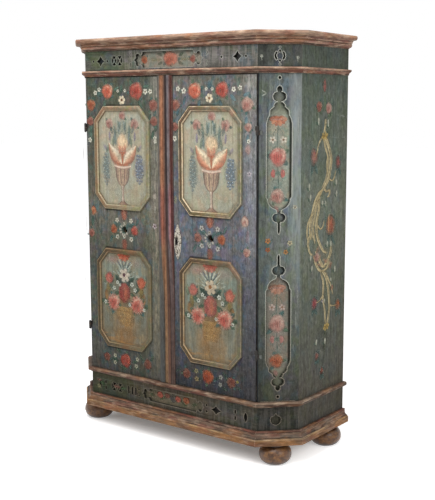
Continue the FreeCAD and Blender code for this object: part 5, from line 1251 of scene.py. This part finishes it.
def side_painting(hand):
    """A tall branching scroll in pale gold with closed flowers, roses and white dabs, on a side."""
    p = Painting(Face((hand * HALF_WIDTH, 0), (0, float(hand))), 51 + hand)
    m = lambda y: hand * (y + SCROLL_Y)
    turn = lambda a: 90 - hand * (90 - a)

    def scroll(points, half, thin=None, gold="7d7258", cover=0.85):
        """One strand: a dull gold stroke with two paler ones over it. Around the middle of its height it
        leans to the front by a bell curve."""
        line = [(m(y - SWELL * math.exp(-((z - SWELL_Z) / SWELL_HALF) ** 2)), z) for y, z in points]
        p.line(line, half * 2.9, gold, "887c60", (thin or half) * 2.9, 2, cover * 0.75, 34, 0.8)
        p.line([(y - half * 1.2, z) for y, z in line], half * 1.1, "cbbb92", None, (thin or half) * 1.1, 3,
            cover, 34, 0.5)
        p.line([(y + half * 1.1, z) for y, z in line], half * 0.9, "bdae88", None, (thin or half) * 0.9, 3,
            cover * 0.9, 34, 0.5)

    p.patches(((60, 1400, 60, 60, "5f6c5e", 0.3), (60, 1250, 70, 90, "5a675c", 0.35),
        (20, 1060, 70, 80, "7c8270", 0.25), (70, 860, 80, 60, "8c8472", 0.4),
        (90, 700, 50, 90, "767a66", 0.3), (70, 520, 60, 70, "54564a", 0.35),
        (-60, 1000, 50, 120, "808a84", 0.25), (-80, 1300, 60, 100, "7c8680", 0.25)), lambda y, z: (m(y), z))
    # the knot at the top, and the arms that curl down from it
    scroll([(54, 1380), (78, 1350), (104, 1300), (108, 1256), (94, 1205), (62, 1162), (22, 1142)], 5.5, 3.5)
    scroll([(54, 1380), (58, 1340), (82, 1296), (86, 1246), (74, 1200), (46, 1162)], 3.6, 2.4)
    scroll([(50, 1392), (58, 1420), (62, 1452)], 3.6, 2.4, "7d8068")
    scroll([(30, 1372), (10, 1350), (-6, 1310), (-20, 1290)], 2.6, 1.6)
    scroll([(84, 1300), (76, 1262), (82, 1226)], 2.6)
    scroll([(62, 1162), (84, 1146), (108, 1150), (112, 1132), (98, 1120)], 3.6, 2)
    scroll([(92, 1205), (120, 1190), (140, 1200), (152, 1232)], 2.6, 1.4)
    # the middle: several strands side by side
    scroll([(40, 1150), (10, 1120), (-8, 1064), (-20, 1000), (-14, 950)], 5.5, 4)
    scroll([(50, 1154), (20, 1110), (12, 1050), (2, 990), (12, 930)], 3.6, 2.6)
    scroll([(30, 1128), (38, 1070), (28, 1016), (32, 960), (62, 900), (96, 880)], 4.5, 3)
    scroll([(-8, 1064), (-38, 1020), (-46, 970), (-34, 940)], 3.4, 2)
    scroll([(-18, 980), (-44, 940), (-38, 900), (-20, 884)], 3.4, 2.2, "82836c")
    scroll([(32, 1010), (60, 990), (80, 1000), (92, 1024)], 2.8, 1.4)
    # the cluster and the two stems under it
    scroll([(10, 900), (36, 850), (64, 824), (96, 846), (128, 880), (136, 912)], 5.5, 3, "8a8870")
    scroll([(-10, 880), (14, 828), (50, 806), (90, 816), (116, 846)], 4.2, 2.6)
    scroll([(48, 812), (84, 770), (104, 700), (112, 640), (100, 580), (86, 550)], 4, 2.4)
    scroll([(40, 808), (60, 750), (58, 690), (72, 640), (80, 590), (86, 552)], 3.2, 2.2)
    scroll([(76, 800), (104, 760), (130, 722), (140, 690)], 2.8, 1.6)
    scroll([(60, 700), (30, 680), (4, 676)], 2.4, 1.4)
    scroll([(108, 650), (140, 640), (170, 640)], 2.4, 1.4)
    for y, z, r in ((54, 1380, 22), (88, 556, 20)):
        for k in range(6):
            p.dab(m(y) + 4 * math.cos(k), z - 4 * math.sin(k), r * 1.1, 8, turn(20 + 58 * k), "a38a50",
                "c0a868", 4, 0.8, 0.5, bend=30)
    # the bud and roses at the top
    p.dab(m(50), 1562, 56, 14, 90, "8a504a", "a06a60", 3, 0.75, 0.7, belly=0.4, point=1.1)
    for y, z, length, a, half in ((52, 1480, 74, 90, 14), (44, 1478, 60, 120, 9), (64, 1480, 60, 64, 9),
            (30, 1470, 46, 150, 8), (76, 1462, 46, 20, 8)):
        p.leaf(m(y), z, length, turn(a), "56684f", "6c7e62", half, cover=0.5)
    p.rose(m(8), 1502, 22, DUSK, 3)
    p.rose(m(84), 1496, 24, BLUSH, 3)
    for y, z, length, a in ((6, 1440, 30, 90), (84, 1432, 30, 95), (-60, 1172, 30, 90), (-52, 1126, 30, 85),
            (157, 1180, 24, 95), (158, 1130, 26, 85), (44, 1098, 20, 90), (68, 1094, 22, 90),
            (88, 918, 26, 90), (118, 916, 26, 92), (-47, 872, 24, 80), (-36, 826, 24, 80),
            (154, 800, 28, 90), (69, 672, 20, 90), (7, 500, 24, 80), (80, 492, 28, 90),
            (126, 760, 20, 110)):
        p.dab(m(y), z - length * 0.5, length * 1.1, 8, turn(a), "a4a694", "c0c0ae", 3, 0.8, 0.6)
        p.leaf(m(y), z - length * 0.5, length * 0.9, turn(a + 60), "3f5a4c", "54705f", 7, level=1,
            cover=0.6)
    # closed flowers along the strands
    for y, z, r, tones, squash in ((-27, 1296, 40, ("a07468", "a8685a", "8c5c50"), 0.5),
            (167, 1268, 32, ("8c5850", "94544c", "7c504a"), 0.5),
            (-12, 676, 30, ("8f3c40", "a85458", "78343a"), 0.55),
            (183, 640, 28, ("94502f", "a8643e", "7c4430"), 0.55),
            (112, 1000, 50, ("a8644e", "b87452", "94503c"), 0.56),
            (13, 440, 20, ("8c5048", "a07064", "74443e"), 0.6),
            (56, 366, 20, ("7c4438", "94604e", "6a3c34"), 0.6)):
        p.patch(m(y), z, r * 1.5, r * 1.6, "607472", 0.5, 1)
        p.bloom(m(y), z, r, tones, 3, squash * 1.55, 0.75, 0.8)
        for a in (60, 125, 250, 300, 90):
            p.leaf(m(y), z - r * 0.5, r * 1.6, turn(a), "34524c", "587672", 11, level=1, cover=0.6)
    p.dab(m(96), 966, 76, 8, 90, "c49468", "d0a47c", 4, 0.6, 0.7)
    p.dab(m(124), 966, 72, 8, 90, "8c4c40", "a0604e", 4, 0.6, 0.7)
    for y, z, a in ((0, 880, 80), (14, 850, 60), (-6, 850, 120), (20, 884, 95), (100, 812, 40),
            (116, 806, 100), (90, 838, 150), (60, 840, 20), (40, 830, 160)):
        p.dab(m(y), z, 40, 8, turn(a), "a07a6a", "b39678", 5, 0.55, 0.8, bend=20)
    p.rose(m(2), 872, 21, BLUSH, 3, 4)
    p.rose(m(130), 722, 13, DUSK, 2)
    p.star(m(56), 676, 11, "9c9498", "5f5a60")
    p.line([(m(84), 548), (m(72), 500), (m(74), 440), (m(60), 380)], 8, "4c5440", "4a4f3c", 4, 1, 0.45)
    for y, z, length, a in ((158, 1466, 62, -2), (194, 1462, 34, -4), (119, 1374, 46, -3),
            (188, 1372, 44, -2), (-40, 1340, 40, 92), (-70, 620, 46, 88), (-150, 1250, 60, 91),
            (-140, 900, 80, 89), (-158, 640, 50, 92)):
        p.dab(m(y), z, length, 2, turn(a), "a6aba0", "8f978e", 1, 0.5)
    p.finish("side_scroll_" + HAND[hand], "carcass", "carcass_green")


def frieze_and_plinth_painting():
    """A rose with small ones beside it in the frieze's cartouche, and round flowers in the plinth's."""
    p = Painting(FRONT_GROUND, 61)
    p.patches(((-150, 1702, 40, 26, "8c8878", 0.4), (150, 1700, 40, 26, "9c9484", 0.4),
        (80, 1704, 40, 20, "8c7c60", 0.35), (-80, 1702, 40, 20, "87795c", 0.35),
        (-90, 199, 60, 22, "7a6e54", 0.35), (110, 200, 60, 22, "6c6450", 0.35)))
    for u, v, a in ((60, 1716, 160), (-30, 1716, 20), (58, 1690, 200), (-28, 1690, 340), (15, 1728, 90),
            (-6, 1690, 200), (40, 1690, 330)):
        p.leaf(u, v, 32, 180 - a, "3a4438", "52604a", 8, level=1, cover=0.6)
    p.rose(16, 1704, 31, ("96584a", "b47460", "cc9480", "98503e"), 4, 3, 1.35)
    p.rose(-133, 1703, 18, RUST, 2, 2)
    p.rose(138, 1700, 16, DUSK, 2, 2)
    for u, length in ((-96, 44), (-60, 30), (70, 44), (108, 34)):
        p.dab(u, 1700, length, 6, 0, "8c7c58", "7c8066", 1, 0.45, 0.7, bend=12)
    for k in range(6):
        a = 50 + 16 * k
        p.dab(12, 180, 44 * (0.8 + 0.2 * math.sin(math.pi * (k + 0.5) / 6)), 4.4, a, "30343c", "4a5260", 2,
            0.6, 0.8, bend=(a - 90) * -0.3, belly=0.7, point=1.3)
    for u, v, r, tones in ((-66, 206, 17, EMBER), (-22, 208, 15, UMBER), (40, 203, 16, EMBER),
            (88, 206, 18, COPPER)):
        p.bloom(u, v, r, tones[::-1], 3, 1.25, 0.9)
    for u, a in ((-96, 170), (120, 10), (-40, 200), (62, 340), (-44, 30), (64, 160)):
        p.leaf(u, 194, 34, a, "35452f", "4f6040", 8, level=1, cover=0.6)
    p.finish("frieze_and_plinth_flowers", "carcass", "carcass_green")


def plinth_sprigs():
    """Small flowers on the plinth's fretwork, to the left of its cartouche."""
    p = Painting(FRONT, 71)
    p.star(-440, 186, 12, "7d7a54", "4a4432")
    p.dab(-452, 216, 30, 6, 0, "7a5248", "8a6256", 2, 0.65)
    p.dab(-345, 203, 44, 8, -4, "6f463c", "84584c", 2, 0.65)
    p.leaf(-300, 196, 40, 10, "2f452b", "3f5c3c", 8)
    p.leaf(-400, 200, 34, 170, "2f452b", "3f5c3c", 8)
    p.finish("plinth_sprigs", "carcass", "fretwork_green")


def joint_dust_and_shade():
    """Dust and painted shade in the joints between the five planks of the back, halfway through them: four
    dark upright strips a little narrower than the joints, which stand for the shade there as well as the
    dust."""
    f = Finish("joint_dust_and_shade")
    lint = f.patch(3, 0.44, 0.6, (1, 1, 5), seed=2)
    # a dark dust colour that also serves as painted shade in the joints
    colour = f.mottle(f.coats(paint("3a2f24"), ("57493a", lint * 0.6)), 6, 1.6, seed=4)
    low, high, deep, half = FLOOR_Z, TOP_Z, PLANKS_Y, 0.48
    around = ((-half, low), (half, low), (half, high), (-half, high))
    corners = [((x + off) * MM, deep * MM, z * MM) for x in PLANK_JOINTS for off, z in around]
    mesh = bpy.data.meshes.new("joint_dust_and_shade")
    mesh.from_pydata(corners, [], [tuple(range(k, k + 4)) for k in range(0, len(corners), 4)])
    piece = put("joint_dust_and_shade", mesh, f.finish(colour, 0.9, lint, 0.2))
    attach(piece, "carcass")


joint_dust_and_shade()
left_door_painting()
right_door_painting()
for hand in (-1, 1):
    cant_window_painting(hand)
    cant_front_painting(hand)
    side_painting(hand)
frieze_and_plinth_painting()
plinth_sprigs()


# ---- floor, light and camera ------------------------------------------------------------------
FOOTPRINT = (600, 250)    # half the breadth and depth of the painted shadow under the base
FLOOR_REACH = 30          # metres to each side


def stage():
    """A white sweep under and behind the cupboard; it keeps the shadow and shows white around it, with a
    painted shadow under the base.
    """
    f = Finish("studio_floor")
    seen = f.shown()
    shade = f.over(paint("d8d8d8"), paint("ffffff"), seen)
    # painted shadow: the floor's own glow is dimmed under and around the base
    under = f.rise(f.highest(abs(f.x) - FOOTPRINT[0], abs(f.y) - FOOTPRINT[1]), 20, -160)
    glow = f.over(f.over(paint("000000"), paint("ffffff"), seen), paint("868686"), under)
    bump = f.node("ShaderNodeBump", {},
        {"Strength": 0.02, "Distance": MM, "Height": f.cloud(400, detail=2)})
    shader = f.node("ShaderNodeBsdfPrincipled", {}, {
        "Base Color": shade, "Roughness": 0.9, "Normal": bump, "Specular IOR Level": 0.1,
        "Emission Color": glow, "Emission Strength": 0.6})
    f.node("ShaderNodeOutputMaterial", {}, {"Surface": shader}, out=None)
    mesh = bpy.data.meshes.new("studio_floor")
    r = FLOOR_REACH
    mesh.from_pydata([(-r, -r, 0), (r, -r, 0), (r, r, 0), (-r, r, 0)], [], [(0, 1, 2, 3)])
    floor = put("studio_floor", mesh, f.material)


def lamp(name, place, aim, size, watts):
    """A square soft lamp at one point that looks at another."""
    light = bpy.data.lights.new(name, "AREA")
    light.shape, light.size, light.energy = "SQUARE", size, watts
    thing = bpy.data.objects.new(name, light)
    thing.location = place
    way = np.array(aim) - np.array(place)
    flat = math.hypot(way[0], way[1])
    thing.rotation_euler = (math.pi / 2 + math.atan2(way[2], flat), 0,
        math.atan2(way[1], way[0]) - math.pi / 2)
    bpy.context.scene.collection.objects.link(thing)


def lights():
    """A broad lamp above and before the cupboard, weaker ones at its left and right, and a white room."""
    lamp("top_softbox", (0.6, -1.9, 3.9), (0.1, 0, 1.1), 2.6, 112)
    lamp("left_softbox", (-3.2, -3.6, 2.2), (0, 0, 1.1), 2.4, 26)
    lamp("right_softbox", (4.4, -1.2, 2.4), (0.5, 0, 1), 2.2, 62)
    world = Finish("white_room", bpy.data.worlds)
    white = paint("ffffff")
    room = world.node("ShaderNodeBackground", {}, {"Color": white, "Strength": 0.4})
    back = world.node("ShaderNodeBackground", {}, {"Color": white, "Strength": 1})
    join = world.node("ShaderNodeMixShader", {}, {0: world.shown(), 1: room, 2: back})
    world.node("ShaderNodeOutputWorld", {}, {"Surface": join}, out=None)
    bpy.context.scene.world = world.material


def camera():
    """The view from the right, at the height of a standing person's eyes."""
    lens = bpy.data.cameras.new("camera")
    lens.lens, lens.sensor_width, lens.sensor_fit = 68.27, 36, "AUTO"
    lens.shift_x, lens.shift_y = -0.0593, 0.0087
    thing = bpy.data.objects.new("camera", lens)
    thing.location = (2.7074, -3.3492, 1.4928)
    thing.rotation_euler = tuple(math.radians(a) for a in (81.27, -0.1, 36.08))
    bpy.context.scene.collection.objects.link(thing)
    bpy.context.scene.camera = thing


stage()
lights()
camera()
bpy.context.scene.view_settings.view_transform = "Standard"
